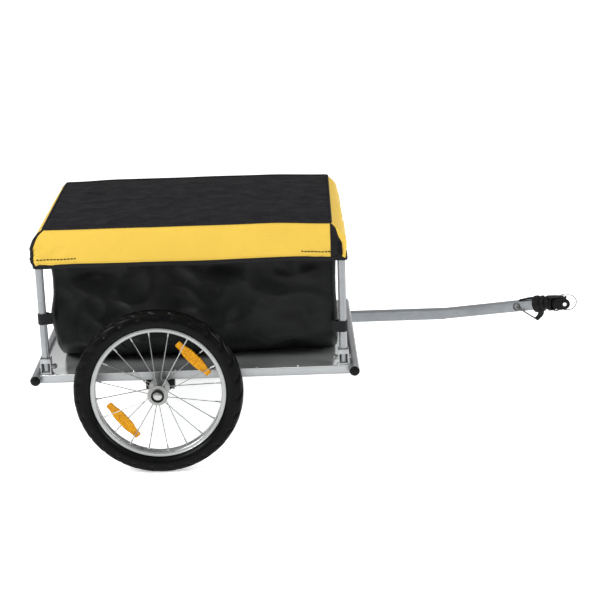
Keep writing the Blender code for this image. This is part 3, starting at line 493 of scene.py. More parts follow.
def cover_ring(t):
    """The cover's outline at t from 0 at the top's edge to 1 at the hem."""
    rear, front = bulge_at(REAR_BULGE, t), bulge_at(FRONT_BULGE, t)
    half_x = TOP_HALF_X + (rear + front) / 2
    half_y = TOP_HALF_Y + bulge_at(SIDE_BULGE, t)
    z = COVER_TOP_Z - (COVER_TOP_Z - COVER_HEM_Z) * t
    centre = (TRAY_X + (front - rear) / 2, 0)
    ring = rounded_plan(half_x, half_y, COVER_CORNER_R, centre, z, *COVER_STEPS)
    for p in ring:
        p[0] += edge_shift(p[0], p[1]) * (1 - smooth(t, 0.0, 0.45))
    return ring


def edge_shift(x, y):
    """The top was cut a little askew: its front edge is back at the right, its rear edge at the left."""
    across = y / TOP_HALF_Y
    shift = 4 * across - 4 if x > TRAY_X else -3 - 5 * across
    return shift * MM * min(abs(x - TRAY_X) / TOP_HALF_X, 1.0) ** 2


def gather(x, y, t):
    """How much the elastic in the hem draws the cloth into small pleats, from 0 to 1."""
    from_end = TOP_HALF_X + 0.02 - abs(x - TRAY_X)
    on_side = smooth(abs(y), 0.24, 0.262)
    return on_side * (1 - smooth(from_end, 0.07, 0.125)) * smooth(t, 0.5, 0.9)


def crumple_cover(point, t, outward):
    """Moves a point of the skirt in and out with soft waves, corner creases and pleats."""
    x, y, z = point
    near_corner = 1 - smooth(TOP_HALF_X - abs(x - TRAY_X), 0.0, 0.12)
    soft = 1.8 * MM * wave(x, y, z, 9) + 0.9 * MM * wave(x + 3, y, z, 26) + 0.6 * MM
    slant = (x if x > TRAY_X else -x) + z * 1.3
    at_corner = 1 - smooth(TOP_HALF_X + 0.02 - abs(x - TRAY_X), 0.01, 0.06)
    creases = 1.5 * MM * near_corner * math.sin(slant * 150 + 4 * wave(x, y, z, 14)) * smooth(t, 0.15, 0.6)
    creases += 0.9 * MM * at_corner * math.sin(slant * 430 + 3 * wave(x, y, z, 20)) * smooth(t, 0.3, 0.6)
    run = x if abs(y) > 0.25 else y
    pleats = 1.7 * MM * gather(x, y, t) * math.sin(run * 2 * math.pi / (9.5 * MM) + 3 * wave(x, y, 0, 30))
    moved = (soft * smooth(t, 0.0, 0.25) + creases + pleats) * (1 - 0.5 * smooth(t, 0.93, 1.0))
    return np.array(point) + outward * moved


def outward_of(ring):
    """The horizontal direction away from the ring at each of its points."""
    ahead = np.roll(ring, -1, 0) - np.roll(ring, 1, 0)
    out = np.stack([ahead[:, 1], -ahead[:, 0], np.zeros(len(ring))], 1)
    return out / np.linalg.norm(out, axis=1)[:, None]


def hem_lift(x, y):
    """The hem's slow rise and fall along its run."""
    return 2.6 * MM * wave(x, y, 2.0, 6) - 3.5 * MM * smooth(x, -0.05, 0.03)


def cover_rows():
    rows = []
    for i in range(SKIRT_ROWS + 1):
        t = i / SKIRT_ROWS
        ring = cover_ring(t)
        out = outward_of(ring)
        row = [crumple_cover(p, t, o) for p, o in zip(ring, out)]
        for p in row:
            p[2] += hem_lift(p[0], p[1]) * t + top_sag(p[0], p[1]) * (1 - t)
        rows.append(row)
    return rows


def top_sag(x, y):
    """The top is stretched over the two hoops: it dips a little between them and at the front."""
    at_far_rear = smooth(-x, 0.5, 0.63) * smooth(y, 0.12, 0.26)
    return -4.5 * MM * smooth(x, -0.12, 0.05) - 3.5 * MM * at_far_rear + 1.2 * MM * wave(x, y, 0, 7)


def top_height(x, y, share):
    """The top's height: pulled tight at the edge, crowned inside it, with broad soft ripples."""
    inside = smooth(share, 0.0, 0.25)
    crown = 3.2 * MM * math.sin(min(share * 1.8, 1) * math.pi / 2)
    ripple = 1.8 * MM * wave(x, y, 5.0, 6) + 0.3 * MM * wave(x + y, y - x * 0.5, 9.0, 14)
    fold = 1 - 2 * abs(noise.noise(Vector((x * 5 + y * 2.5, y * 7 - x * 2, 21.0))))
    return COVER_TOP_Z + crown + (ripple + 2.0 * MM * max(fold, 0) ** 9) * inside + top_sag(x, y)


def top_rings():
    """Rings from the top's edge inwards, the last one a narrow loop along the middle."""
    rows = []
    for i in range(TOP_ROWS + 1):
        share = i / TOP_ROWS
        inset = share * (TOP_HALF_Y - 6 * MM)
        ring = rounded_plan(
            TOP_HALF_X - inset, TOP_HALF_Y - inset, COVER_CORNER_R * (1 - 0.6 * share), (TRAY_X, 0),
            COVER_TOP_Z, *COVER_STEPS,
        )
        for p in ring:
            p[0] += edge_shift(p[0], p[1])
            p[2] = top_height(p[0], p[1], share)
        rows.append(ring)
    return rows


def across_the_middle(ring, short_count):
    """A ring's two long sides, in matching order, for the strip that closes it."""
    count = len(ring)
    near = [(-(short_count // 2) + i) % count for i in range(count // 2 + 1)]
    far = [(count - short_count - i) % count for i in near]
    return [ring[near], ring[far]]


class Skirt:
    """Places on the cover's skirt, by the distance s along its ring and t down it."""

    def __init__(self, rows):
        self.rows = np.array([[*row, row[0]] for row in np.array(rows)])
        self.run = run_of(self.rows[len(rows) // 2])
        self.length = self.run[-1]
        at_corner = COVER_CORNER // 2
        self.corners = {}
        for name, side in zip(
            ("front_left", "rear_left", "rear_right", "front_right"),
            (COVER_LONG, COVER_SHORT, COVER_LONG, COVER_SHORT),
        ):
            self.corners[name] = self.run[at_corner]
            at_corner += COVER_CORNER + side

    def find_x(self, corner, way, x, t):
        """The distance s, within 45 mm of the corner's middle, where the skirt is at x."""
        places = corner + way * np.linspace(0.045, 0.0, 31)
        xs = [self.at(s, t)[0] for s in places]
        return float(np.interp(x, xs, places))

    def at(self, s, t, off=0.0):
        """The point there, off that far out from the cloth."""
        s = s % self.length
        level = min(max(t, 0), 1) * (len(self.rows) - 1)
        i = min(int(level), len(self.rows) - 2)
        share = level - i

        def place(s):
            upper, lower = (point_at(self.rows[k], self.run, s % self.length) for k in (i, i + 1))
            return upper * (1 - share) + lower * share

        ahead = place(s + 2 * MM) - place(s - 2 * MM)
        return place(s) + unit([ahead[1], -ahead[0], 0]) * off


def cover_piece(name, shape, materials, replaces=(), thickness=0, sharp=60):
    return piece(name, shape, materials, "cover", replaces, thickness, sharp)


def make_cover():
    skirt, top = cover_rows(), top_rings()
    shape = Shape()
    yellow, black = 0, 1
    shape.rows(skirt, across_closed=True, slot=yellow)
    shape.rows(top, across_closed=True, slot=black)
    shape.rows(across_the_middle(top[-1], COVER_SHORT), slot=black)
    return cover_piece("cover_cloth", shape, [YELLOW_CLOTH, TOP_CLOTH], ["cover"], 0.9 * MM), skirt


GUSSET_INNER_X = 0.0375
GUSSET_ROWS, GUSSET_COLUMNS, FLAP_COLUMNS = 44, 26, 9
# How far the gusset reaches along x, at steps down the skirt, from its straight inner edge.
GUSSET_WIDTH = [0.002, 0.0125, 0.016, 0.019, 0.0255, 0.0265, 0.027, 0.027, 0.027]


def make_gusset(skirt_map, name, way):
    """Black cloth let into a front corner: narrow at the top, with a flap over its outer half lower down."""
    corner = skirt_map.corners[name]
    rows, flap_rows = [], []
    for t in np.linspace(0.0, 1.0, GUSSET_ROWS):
        width = bulge_at(GUSSET_WIDTH, t)
        first = skirt_map.find_x(corner, -way, GUSSET_INNER_X, t)
        last = skirt_map.find_x(corner, -way, GUSSET_INNER_X + width, t)
        row = []
        for share in np.linspace(0, 1, GUSSET_COLUMNS):
            edge = min(share, 1 - share) / 0.1
            groove = 0.7 * MM * math.sin(share * 3 * math.pi) * smooth(t, 0.1, 0.4)
            off = (0.4 + 0.6 * min(edge, 1)) * MM + max(groove, 0)
            row.append(skirt_map.at(first + (last - first) * share, t, off))
        rows.append(row)
        if 0.5 < t < 0.9:
            places = np.linspace(first + (last - first) * 0.62, last + way * 1 * MM, FLAP_COLUMNS)
            lifts = (1.3 + 1.6 * np.sin(math.pi * np.linspace(0, 1, FLAP_COLUMNS))) * MM
            flap_rows.append([skirt_map.at(s_at, t, off) for s_at, off in zip(places, lifts)])
    gusset, flap = Shape(), Shape()
    gusset.rows(rows)
    flap.rows(flap_rows)
    return [
        cover_piece(f"cover_gusset_{name}", gusset, BINDING),
        cover_piece(f"cover_gusset_flap_{name}", flap, TOP_CLOTH),
    ]


PIPING_R = 1.7 * MM
# Sections of the hem and of the rear bindings, in millimetres (across, up).
HEM = [(-1.3, -4.4), (-0.7, -5.2), (0.9, -5.2), (1.5, -4.4), (1.7, 0), (1.5, 4.2), (0.8, 4.9), (-1.3, 4.2)]
REAR_BINDING = [(-5.5, -0.6), (-4.8, 1.4), (0, 3.0), (4.8, 1.4), (5.5, -0.6), (0, -0.6)]


def make_cover_trim(skirt, skirt_map):
    """Piping round the top, the bound hem, bindings down the rear corners and the front gussets."""
    edge, hem_path = np.array(skirt[0]), np.array(skirt[-1])
    piping, hem = Shape(), Shape()
    piping.sweep(edge + outward_of(edge) * 0.3 * MM + Z_AXIS * 0.4 * MM, circle(PIPING_R, 8), closed=True)
    hem.sweep(hem_path, np.array(HEM) * MM, side=outward_of(hem_path), closed=True)
    pieces = [
        cover_piece("cover_piping", piping, BINDING, sharp=40),
        cover_piece("cover_hem", hem, BINDING),
    ]
    down = np.linspace(0, 1, 40)
    for name, outward_y in (("rear_right", -1), ("rear_left", 1)):
        path = np.array([skirt_map.at(skirt_map.corners[name], t) for t in down])
        side = np.cross(Z_AXIS, unit([-1, outward_y, 0]))
        size = 0.6 + 0.4 * np.array([smooth(t, 0, 0.4) for t in down])
        binding = Shape()
        binding.sweep(path, np.array(REAR_BINDING) * MM, side=side, scale=size)
        pieces.append(cover_piece(f"cover_binding_{name}", binding, BINDING))
    for name, way in (("front_right", 1), ("front_left", -1)):
        pieces += make_gusset(skirt_map, name, way)
    return pieces


def stitches(name, path, pitch, length, radius, material, body, slot=None):
    """A row of short raised stitches along a path."""
    path = np.asarray(path, float)
    run = run_of(path)
    shape = Shape()
    for s in np.arange(pitch, run[-1] - pitch, pitch):
        a, b = (point_at(path, run, s + way * length / 2) for way in (-1, 1))
        shape.sweep([a, (a + b) / 2, b], circle(radius, 5), scale=[0.6, 1, 0.6])
    return piece(name, shape, material, body)


# How far the dark elastic stitching runs from a corner, and where it starts at the front and at the rear.
ELASTIC_END, ELASTIC_FRONT_START, ELASTIC_REAR_START = 0.105, 32 * MM, 8 * MM


def make_cover_stitching(skirt_map):
    """Stitches above the hem, and the dark lines that hold the elastic at each corner of the long sides."""
    place = skirt_map.at
    ring = [place(s, 0.90, 0.4 * MM) for s in np.arange(0, skirt_map.length, 6 * MM)]
    kind = ("cover", "cover_cloth")
    made = [stitches("cover_hem_stitches", ring, 5 * MM, 3 * MM, 0.35 * MM, YELLOW_THREAD, *kind)]
    for name, way in (("rear_right", 1), ("front_right", -1), ("front_left", 1), ("rear_left", -1)):
        corner = skirt_map.corners[name]
        start = ELASTIC_FRONT_START if name.startswith("front") else ELASTIC_REAR_START
        line = [place(corner + way * s, 0.80, 0.5 * MM) for s in np.linspace(start, ELASTIC_END, 40)]
        line += [place(corner + way * ELASTIC_END, t, 0.5 * MM) for t in np.linspace(0.77, 0.66, 5)]
        name = f"cover_elastic_stitches_{name}"
        made.append(stitches(name, line, 8 * MM, 5.5 * MM, 1.6 * MM, THREAD, *kind))
    return made


# ---- bag

BAG_HALF_X, BAG_HALF_Y = 0.3355, 0.2385
BAG_TOP_Z, BAG_BOTTOM_Z = 0.552, 0.2284
# The lower edge's height, how far it draws the long sides and the ends in, and the upright corners' radius.
BAG_CURVE, BAG_INSET, BAG_END_INSET, BAG_CORNER_R = 0.105, 0.118, 0.006, 0.016
BAG_FRONT_EXTRA, BAG_FRONT_SPLAY = 0.0105, 0.0025
BAG_WALL_ROWS, BAG_CURVE_ROWS, BAG_FLOOR_ROWS = 44, 18, 8
BAG_STEPS = (104, 72, 8)
BAG_WAIST = 4 * MM
BAG_HEM_HALF = 9 * MM
# Depths of the soft folds, of the broad panes and of the small ones.
FOLD_DEPTH, PANE_DEPTH, SMALL_DEPTH = 4 * MM, 17 * MM, 7 * MM
# The height at which the straps pull the bag's ends out, and how far.
REAR_TUG, FRONT_TUG = (0.3645, 0.0105), (0.323, 0.003)
# How far the bag's lower corners hang above its floor.
REAR_CORNER_RISE, FRONT_CORNER_RISE = 16 * MM, 11 * MM


def bag_ring(half_x, half_y, radius, z):
    ring = rounded_plan(half_x, half_y, radius, (TRAY_X, 0), z, *BAG_STEPS)
    splay = BAG_FRONT_SPLAY * smooth(BAG_TOP_Z - z, 0.0, 0.3) + BAG_FRONT_EXTRA
    for p in ring:
        p[0] += splay * smooth(p[0], TRAY_X + 0.2, TRAY_X + half_x)
    return ring


def bag_rows():
    """The bag's rings from its top down the walls, round the soft lower edge and in under its floor."""
    rows = []
    wall_foot = BAG_BOTTOM_Z + BAG_CURVE
    foot_x, foot_y = BAG_HALF_X - 3 * MM, BAG_HALF_Y - 1.5 * MM
    for i in range(BAG_WALL_ROWS + 1):
        z = BAG_TOP_Z + (wall_foot - BAG_TOP_Z) * i / BAG_WALL_ROWS
        waist = BAG_WAIST * math.sin(math.pi * (BAG_TOP_Z - z) / (BAG_TOP_Z - BAG_BOTTOM_Z))
        rows.append(bag_ring(BAG_HALF_X - waist, BAG_HALF_Y - 0.5 * waist, BAG_CORNER_R, z))
    for i in range(1, BAG_CURVE_ROWS + 1):
        a = math.pi / 2 * i / BAG_CURVE_ROWS
        inset = BAG_INSET * (1 - math.cos(a))
        end_inset = BAG_END_INSET * (1 - math.cos(a)) ** 2
        z = wall_foot - BAG_CURVE * math.sin(a)
        rows.append(bag_ring(foot_x - end_inset, foot_y - inset, BAG_CORNER_R, z))
    for i in range(1, BAG_FLOOR_ROWS + 1):
        share = i / BAG_FLOOR_ROWS
        inward = (BAG_HALF_Y - 8 * MM - BAG_INSET) * share
        radius = BAG_CORNER_R * (1 - 0.9 * share)
        rows.append(
            bag_ring(foot_x - BAG_END_INSET - inward, foot_y - BAG_INSET - inward, radius, BAG_BOTTOM_Z)
        )
    return rows


def ridge(place):
    """How far a place is from a crease: 0 on it, growing in a V on both sides to about 1."""
    return 2 * abs(noise.noise(place))


def wrinkle_bag(point, out):
    """Slack cloth hung from its top: soft upright folds, and flat panes that meet at sharp creases."""
    x, y, z = point
    drop = (BAG_TOP_Z - z) / (BAG_TOP_Z - BAG_BOTTOM_Z)
    around = x if abs(y) > abs(x - TRAY_X) * 0.62 else y + 1.7
    hang = smooth(drop, 0.03, 0.3) * (1 - smooth(drop, 0.88, 1.0))
    lean = 0.12 * math.sin(around * 7 + 1.3) * (z - 0.4)
    folds = FOLD_DEPTH * noise.noise(Vector(((around + lean) * 13, z * 2.0, 3.1)))
    broad = PANE_DEPTH * ridge(Vector((around * 6.5 + z * 4, z * 7 - around * 3, 23.1)))
    small = SMALL_DEPTH * ridge(Vector((around * 13 - z * 9, z * 15 + around * 5, 41.7)))
    at_end = smooth(abs(x - TRAY_X), BAG_HALF_X - 0.075, BAG_HALF_X - 0.012)
    strap_z, tug = FRONT_TUG if x > TRAY_X else REAR_TUG
    pulled = at_end * tug * math.exp(-((z - strap_z) / 0.04) ** 2)
    slack = (folds - broad - small + 2.5 * MM) * (1 - 0.8 * at_end)
    moved = np.array(point) + out * hang * (slack + pulled)
    from_rear, from_front = x - (TRAY_X - BAG_HALF_X), TRAY_X + BAG_HALF_X - x
    rise = REAR_CORNER_RISE * (1 - smooth(from_rear, 0, 0.11))
    rise += FRONT_CORNER_RISE * (1 - smooth(from_front, 0, 0.26))
    lowered = smooth(drop, 0.75, 1.0)
    uneven = 3 * MM * noise.noise(Vector((x * 12, y * 12, 4.4))) * hang
    moved[2] += (rise * smooth(abs(y), 0.1, 0.2) + uneven) * lowered
    return moved


def make_bag():
    rows = []
    for ring in bag_rows():
        rows.append([wrinkle_bag(p, o) for p, o in zip(ring, outward_of(ring))])
    shape = Shape()
    shape.rows(rows, across_closed=True)
    shape.rows(across_the_middle(np.array(rows[-1]), BAG_STEPS[1]))
    bag = piece("bag_cloth", shape, BAG_CLOTH, "tray", ["bag"], 0.8 * MM, sharp=75)
    hem, top = Shape(), np.array(rows[0])
    section = np.array([(-0.9, -9), (0.7, -9), (1.0, 0), (0.7, 9), (-0.9, 9)]) * MM
    hem.sweep(top - Z_AXIS * BAG_HEM_HALF, section, side=outward_of(top), closed=True)
    return bag, piece("bag_top_binding", hem, BINDING, "tray", sharp=60)


# ---- straps round the posts

POST_R, POST_Y = 9.5 * MM, 0.258


def make_post_strap(side, sy, end, sx):
    """Webbing looped round a hoop post, with both ends run to the bag and sewn together."""
    node = f"hoop_strap_{end}_{side}"
    low, high = node_box(node)
    hoop_low, hoop_high = node_box(f"hoop_{side}")
    z, width = (low[2] + high[2]) / 2, high[2] - low[2]
    x = hoop_high[0] - POST_R if sx > 0 else hoop_low[0] + POST_R
    y = sy * POST_Y
    inner = low[0] if sx > 0 else high[0]
    radius = POST_R + 1.3 * MM
    loop = []
    for a in np.linspace(-math.pi / 2, math.pi / 2, 15):
        loop.append((x + sx * radius * math.cos(a), y + radius * math.sin(a), z))
    along = np.linspace(x - sx * 3 * MM, inner - sx * 5 * MM, 6)
    tails = []
    for start_y, end_y in ((-radius, -4.5 * MM), (radius, -1.5 * MM)):
        tails.append(
            [(tail_x, y + start_y + (end_y - start_y) * smooth(i, 0, 5), z) for i, tail_x in enumerate(along)]
        )
    shape = Shape()
    shape.sweep(tails[0][::-1] + loop + tails[1], strip(width, 1.5 * MM, 6), side=Z_AXIS)
    piece(f"post_strap_{end}_{side}", shape, WEBBING, f"hoop_{side}", [node], sharp=50)


# ---- wheels

WHEEL_X, WHEEL_Y, WHEEL_Z = -0.377, 0.337, 0.2
# The rest of this section is in millimetres: (radius, distance from the wheel's middle plane).
LUGS, LUG_SAMPLES = 27, 14
TREAD_DEPTH, SHOULDER_DEPTH = 3.4, 2.4
TREAD_R, TREAD_HALF, CROWN, CROWN_STEPS = 187.5, 20.6, 12.5, 13
TYRE_WALL = [
    (160.2, 11.4), (163.5, 17.2), (168, 20.6), (173, 22.4), (178, 22.8), (183, 22.2), (187.5, 20.6),
]
TYRE_INSIDE = [
    (158.6, -8.9), (177, -19.6), (188.5, -16.6), (196, -6), (196, 6), (188.5, 16.6), (177, 19.6), (158.6, 8.9),
]
RIM_BAND = (148.5, 159.0, 13.0)
SPOKES = 20
NIPPLE = [(0, 0), (1.35, 0), (1.9, 1.5), (1.9, 9.5), (2.5, 12.5), (3.2, 13.2), (3.2, 13.9), (0, 13.9)]
HUB_SEAL = [(12, 35.9), (14.9, 35.9), (15.4, 36.6), (14.9, 37.4), (12.4, 37.6), (11.4, 37), (11.4, 36.2)]


def hub_centre(side):
    return np.array([WHEEL_X, SIDES[side] * WHEEL_Y, WHEEL_Z])


def cross_groove(lug, across, start, end):
    """1 in a slanted groove and 0 on a lug. The grooves of the two sides are half a lug apart."""
    slant = (lug + 0.84 * abs(across) + (0.5 if across > 0 else 0)) % 1.0
    return 1 - smooth(abs(slant - 0.5), start, end)


def tread_cut(lug, across):
    """How deep the tread is cut at a place, from 0 on a lug to 1 in a groove. across runs from -1 to 1."""
    reach = abs(across)
    wavy = 1 - smooth(abs(reach - 0.34 - 0.07 * math.sin(2 * math.pi * lug)), 0.05, 0.11)
    return max(cross_groove(lug, across, 0.07, 0.13) * smooth(reach, 0.30, 0.42), wavy)


def make_tyre(side):
    centre = hub_centre(side)
    steps = LUGS * LUG_SAMPLES
    crown = []
    for i in range(1, CROWN_STEPS + 1):
        a = math.pi / 2 * i / CROWN_STEPS
        crown.append((TREAD_R + CROWN * math.sin(a), TREAD_HALF * max(math.cos(a), 0) ** 0.8))
    rows = []
    for k in range(steps):
        lug, a = k / LUG_SAMPLES, 2 * math.pi * k / steps
        spin = np.array([math.cos(a), 0, math.sin(a)])
        section = []
        for sign in (1, -1):
            half = []
            for r, w in TYRE_WALL + crown:
                if r > TREAD_R:
                    cut = TREAD_DEPTH * tread_cut(lug, sign * w / TREAD_HALF)
                else:
                    cut = SHOULDER_DEPTH * cross_groove(lug, sign, 0.10, 0.2) * smooth(r, 181, 186)
                lean = unit([r - 176, w * 0.9])
                half.append((r - cut * lean[0], sign * (w - cut * lean[1])))
            section += half if sign > 0 else half[::-1][1:]
        rows.append([centre + (spin * r + Y_AXIS * w) * MM for r, w in section + TYRE_INSIDE])
    shape = Shape()
    shape.rows(rows, across_closed=True, along_closed=True)
    piece(f"tyre_tread_{side}", shape, RUBBER, f"wheel_{side}", [f"tyre_{side}"], sharp=38)


def mirrored(points):
    return [(r, -w) for r, w in points]


def make_rim(side):
    """A box-section alloy rim with a rolled lip, and a wear line round each wall."""
    low, high, half = RIM_BAND
    channel = [
        (high, half), (high + 0.2, half - 0.7), (high - 0.3, half - 1.5), (high - 4, half - 1.5),
        (low + 1.8, half - 1.8),
    ]
    wall = [
        (high - 1.2, half + 0.15), (high - 1.6, half - 0.25), (high - 2.2, half), (low + 3.2, half),
        (low + 1.2, half - 1.4), (low + 0.2, half - 3.5), (low, half - 5.5),
    ]
    outline = channel + mirrored(channel)[::-1] + mirrored(wall) + wall[::-1]
    shape = Shape()
    shape.lathe(outline, hub_centre(side), Y_AXIS, 144, closed=True)
    piece(f"rim_shell_{side}", shape, RIM_ALLOY, f"wheel_{side}", [f"rim_{side}"], sharp=35)


def make_nipples(side):
    """The nuts that hold the spokes in the rim."""
    centre = hub_centre(side)
    shape = Shape()
    for k in range(SPOKES):
        a = math.radians(6 + 360 / SPOKES * k)
        out = np.array([math.cos(a), 0, math.sin(a)])
        sign = SIDES[side] if k % 2 else -SIDES[side]
        foot = centre + (out * 135 + Y_AXIS * sign * 4.0) * MM
        tip = centre + (out * 148.9 + Y_AXIS * sign * 2.6) * MM
        shape.lathe(NIPPLE, foot, tip - foot, 10)
    piece(f"spoke_nipples_{side}", shape, ALLOY, f"wheel_{side}")


def make_hub_seal(side):
    """The dark seal ring round the push button."""
    ring = Shape()
    ring.lathe(HUB_SEAL, hub_centre(side), Y_AXIS * SIDES[side], 48, closed=True)
    piece(f"hub_seal_{side}", ring, BLACK_STEEL, f"wheel_{side}")


# Half the reflector's length, where its prisms end, the clip's groove, and the pitch of the prisms.
REFLECTOR_HALF, PRISM_END, CLIP_GROOVE, PRISM = 53, 39, (40.5, 43.5), 4.4


def reflector_width(s):
    """Half its width at s along it: widest in the middle, with straight ends."""
    s = abs(s)
    return 8.0 - 1.6 * smooth(s, 50, 53) if s > 41 else 12.5 - 4.3 * smooth(s, 16, 41)


def reflector_height(s, q):
    """Half its thickness at s along it and q, from -1 to 1, across: raised rim, prisms and a round boss."""
    v = q * reflector_width(s)
    from_middle = math.hypot(s, v)
    boss, dimple = 1 - smooth(from_middle, 6.2, 7.2), 1 - smooth(from_middle, 3.0, 4.0)
    height = 2.6 + 0.5 * smooth(abs(q), 0.82, 0.9) + 0.7 * boss - 0.6 * dimple
    if abs(s) < PRISM_END and abs(q) < 0.8:
        height += 0.55 * (abs((s / PRISM) % 1 - 0.5) + abs((v / PRISM) % 1 - 0.5)) * (1 - boss)
    if CLIP_GROOVE[0] < abs(s) < CLIP_GROOVE[1]:
        height -= 0.9
    return (height - 1.2 * smooth(abs(q), 0.93, 1.0)) * (1 - 0.5 * smooth(abs(s), 51.5, REFLECTOR_HALF))


def make_reflector(side, letter, degrees, radius):
    """An amber bar with a raised rim, prism cells, a round centre and a clip over a spoke at each end."""
    a = math.radians(degrees)
    out, along = np.array([math.cos(a), 0, math.sin(a)]), np.array([-math.sin(a), 0, math.cos(a)])
    centre = hub_centre(side) + out * radius * MM
    shape = Shape()
    faces = []
    for face in (1, -1):
        rows = []
        for s in np.linspace(-REFLECTOR_HALF, REFLECTOR_HALF, 2 * REFLECTOR_HALF + 1):
            row = []
            for q in np.linspace(-1, 1, 19):
                place = along * s + out * q * reflector_width(s) + Y_AXIS * face * reflector_height(s, q)
                row.append(centre + place * MM)
            rows.append(row)
        shape.rows(rows)
        faces.append(np.array(rows))
    for edge in (np.s_[:, 0], np.s_[:, -1], np.s_[0], np.s_[-1]):
        shape.rows([face[edge] for face in faces])
    name = f"{letter}_{side}"
    lens = f"reflector_lens_{name}"
    piece(lens, shape, AMBER, f"wheel_{side}", [f"reflector_{name}"], sharp=30)


def make_wheels():
    for side in SIDES:
        make_tyre(side)
        make_rim(side)
        make_nipples(side)
        make_hub_seal(side)
        make_reflector(side, "a", 42.5, 116)
        make_reflector(side, "b", 218.5, 111)


# ---- tray


# Outlines of a rivet's head and of a lock nut, in millimetres (out, along).
RIVET = [(0, 1.5), (1.2, 1.35), (2.2, 0.9), (2.8, 0.2), (3.0, -0.2), (0, -0.2)]
LOCK_NUT = [(0, 0), (5.6, 0), (6.4, 0.8), (6.4, 4.2), (5.6, 6.2), (4.0, 8.0), (2.0, 9.2), (0, 9.6)]
RIVETS, RIVET_PITCH, RIVET_Y = 8, 98 * MM, 0.2655
BOLT_END_TO_NUT = 4.5 * MM


def make_rivets():
    """Domed rivets through the floor's edge into the side rails."""
    shape = Shape()
    low, high = node_box("floor_plate")
    for side in SIDES.values():
        for k in range(RIVETS):
            x = (low[0] + high[0]) / 2 + (k - (RIVETS - 1) / 2) * RIVET_PITCH
            shape.lathe(RIVET, (x, side * RIVET_Y, high[2]), Z_AXIS, 14)
    piece("floor_rivets", shape, BRIGHT, "tray")


def make_lock_nuts():
    """A domed lock nut on the inner end of each hinge bolt."""
    shape = Shape()
    for side in SIDES:
        for end, way in ENDS.items():
            low, high = node_box(f"hinge_bolt_{end}_{side}")
            centre = (low + high) / 2
            foot = (low if way > 0 else high)[0] + way * BOLT_END_TO_NUT
            shape.lathe(LOCK_NUT, (foot, centre[1], centre[2]), X_AXIS * -way, 18)
    piece("hinge_lock_nuts", shape, DARK_NUT, "tray", sharp=30)


# ---- hitch


BAR_END = np.array([0.579, 0.105, 0.2495])
BAR_ALONG = unit([227, -130, 58])
BAR_ACROSS = unit(np.cross(Z_AXIS, BAR_ALONG))
BAR_UP = np.cross(BAR_ALONG, BAR_ACROSS)
HITCH_PIN = np.array([0.649, 0.088, 0.2565])


def on_bar(along, up, across=0.0):
    """A place near the bar's end, in millimetres along it, above it and to its left."""
    return BAR_END + (BAR_ALONG * along + BAR_UP * up + BAR_ACROSS * across) * MM


BOOT = [
    (18.0, 6), (18.2, 0.6), (19.6, -0.4), (21.3, 1.2), (22.3, 5), (22.4, 9), (21.6, 13.5), (19.4, 17),
    (18.4, 18.4), (19.6, 19.8), (20.9, 22.6), (20.6, 25.6), (18.4, 28), (15.4, 29.4), (14.8, 30.6),
    (16.6, 32), (18.2, 34.6), (18, 38), (15.8, 41), (11.5, 43), (8.2, 43.4),
]
BUSH = [(0, 2.4), (2.6, 2), (3, 1), (3.4, -0.4), (4.8, -0.5), (4.9, 0.4), (4.9, 5.5), (0, 5.5)]
EYELET = [(0, 0.3), (1.6, 0.1), (1.9, -0.8), (2.6, -1), (3.1, -0.4), (3.1, 0.4), (0, 0.4)]


def make_boot():
    """The rubber boot over the bar's end, with three rounded folds."""
    boot = Shape()
    boot.lathe(BOOT, BAR_END, BAR_ALONG, 64)
    piece("boot_folds", boot, BOOT_RUBBER, "coupler", ["coupler_boot"], 1.6 * MM, sharp=60)


def make_cushion():
    """The cushion between the clevis arms."""
    cushion = Shape()
    rows = []
    for u in np.linspace(0, 1, 13):
        bulge = math.sin(math.pi * u) ** 0.5
        section = rounded_plan(5 + 6.0 * bulge, 7 + 5.0 * bulge, 3.0, (0, 0), 0, 5, 7, 6)
        rows.append([HITCH_PIN + np.array([-32.5 + 19 * u, q[0], q[1]]) * MM for q in section])
    cushion.rows(rows, across_closed=True)
    piece("clevis_cushion", cushion, BOOT_RUBBER, "coupler", sharp=60)


def make_axle_bush():
    """The bright bush in the axle plate's hole, and the eyelet in its lower lobe."""
    low, high = node_box("hitch_axle_plate")
    hole = np.array([HITCH_PIN[0], low[1], HITCH_PIN[2] + 3.5 * MM])
    shape = Shape()
    shape.lathe(BUSH, hole, Y_AXIS, 28)
    shape.lathe(EYELET, hole + np.array([-21.5, 0, -14.5]) * MM, Y_AXIS, 20)
    piece("axle_bush", shape, BRIGHT, "hitch", sharp=35)


def make_bar_strap():
    """Webbing that runs along the top of the bar into the boot."""
    route = [(-41, 14.6), (-36, 14.7), (-28, 15.6), (-20, 16.6), (-12, 17.0), (-4, 16.8), (3, 16.0), (8, 15)]
    path = [on_bar(a, u, 2) for a, u in route]
    shape = Shape()
    shape.sweep(path, strip(14 * MM, 3.2 * MM, 8), side=BAR_ACROSS)
    piece("bar_strap", shape, WEBBING, "tow_bar", sharp=50)


# The safety strap's two edges from the boot down, in millimetres (along the bar, above it).
STRAP_LEFT = [(12, -14), (11.4, -19), (8.6, -24.5), (3.6, -29), (-1.6, -32.6)]
STRAP_RIGHT = [(28, -14), (28, -20), (24.6, -27), (18, -33.4), (8.4, -39.6)]


def strap_edge(points):
    """25 evenly spread places on an edge."""
    out, steps = np.linspace(0, 1, 25), np.linspace(0, 1, len(points))
    return np.array([np.interp(out, steps, values) for values in zip(*points)]).T


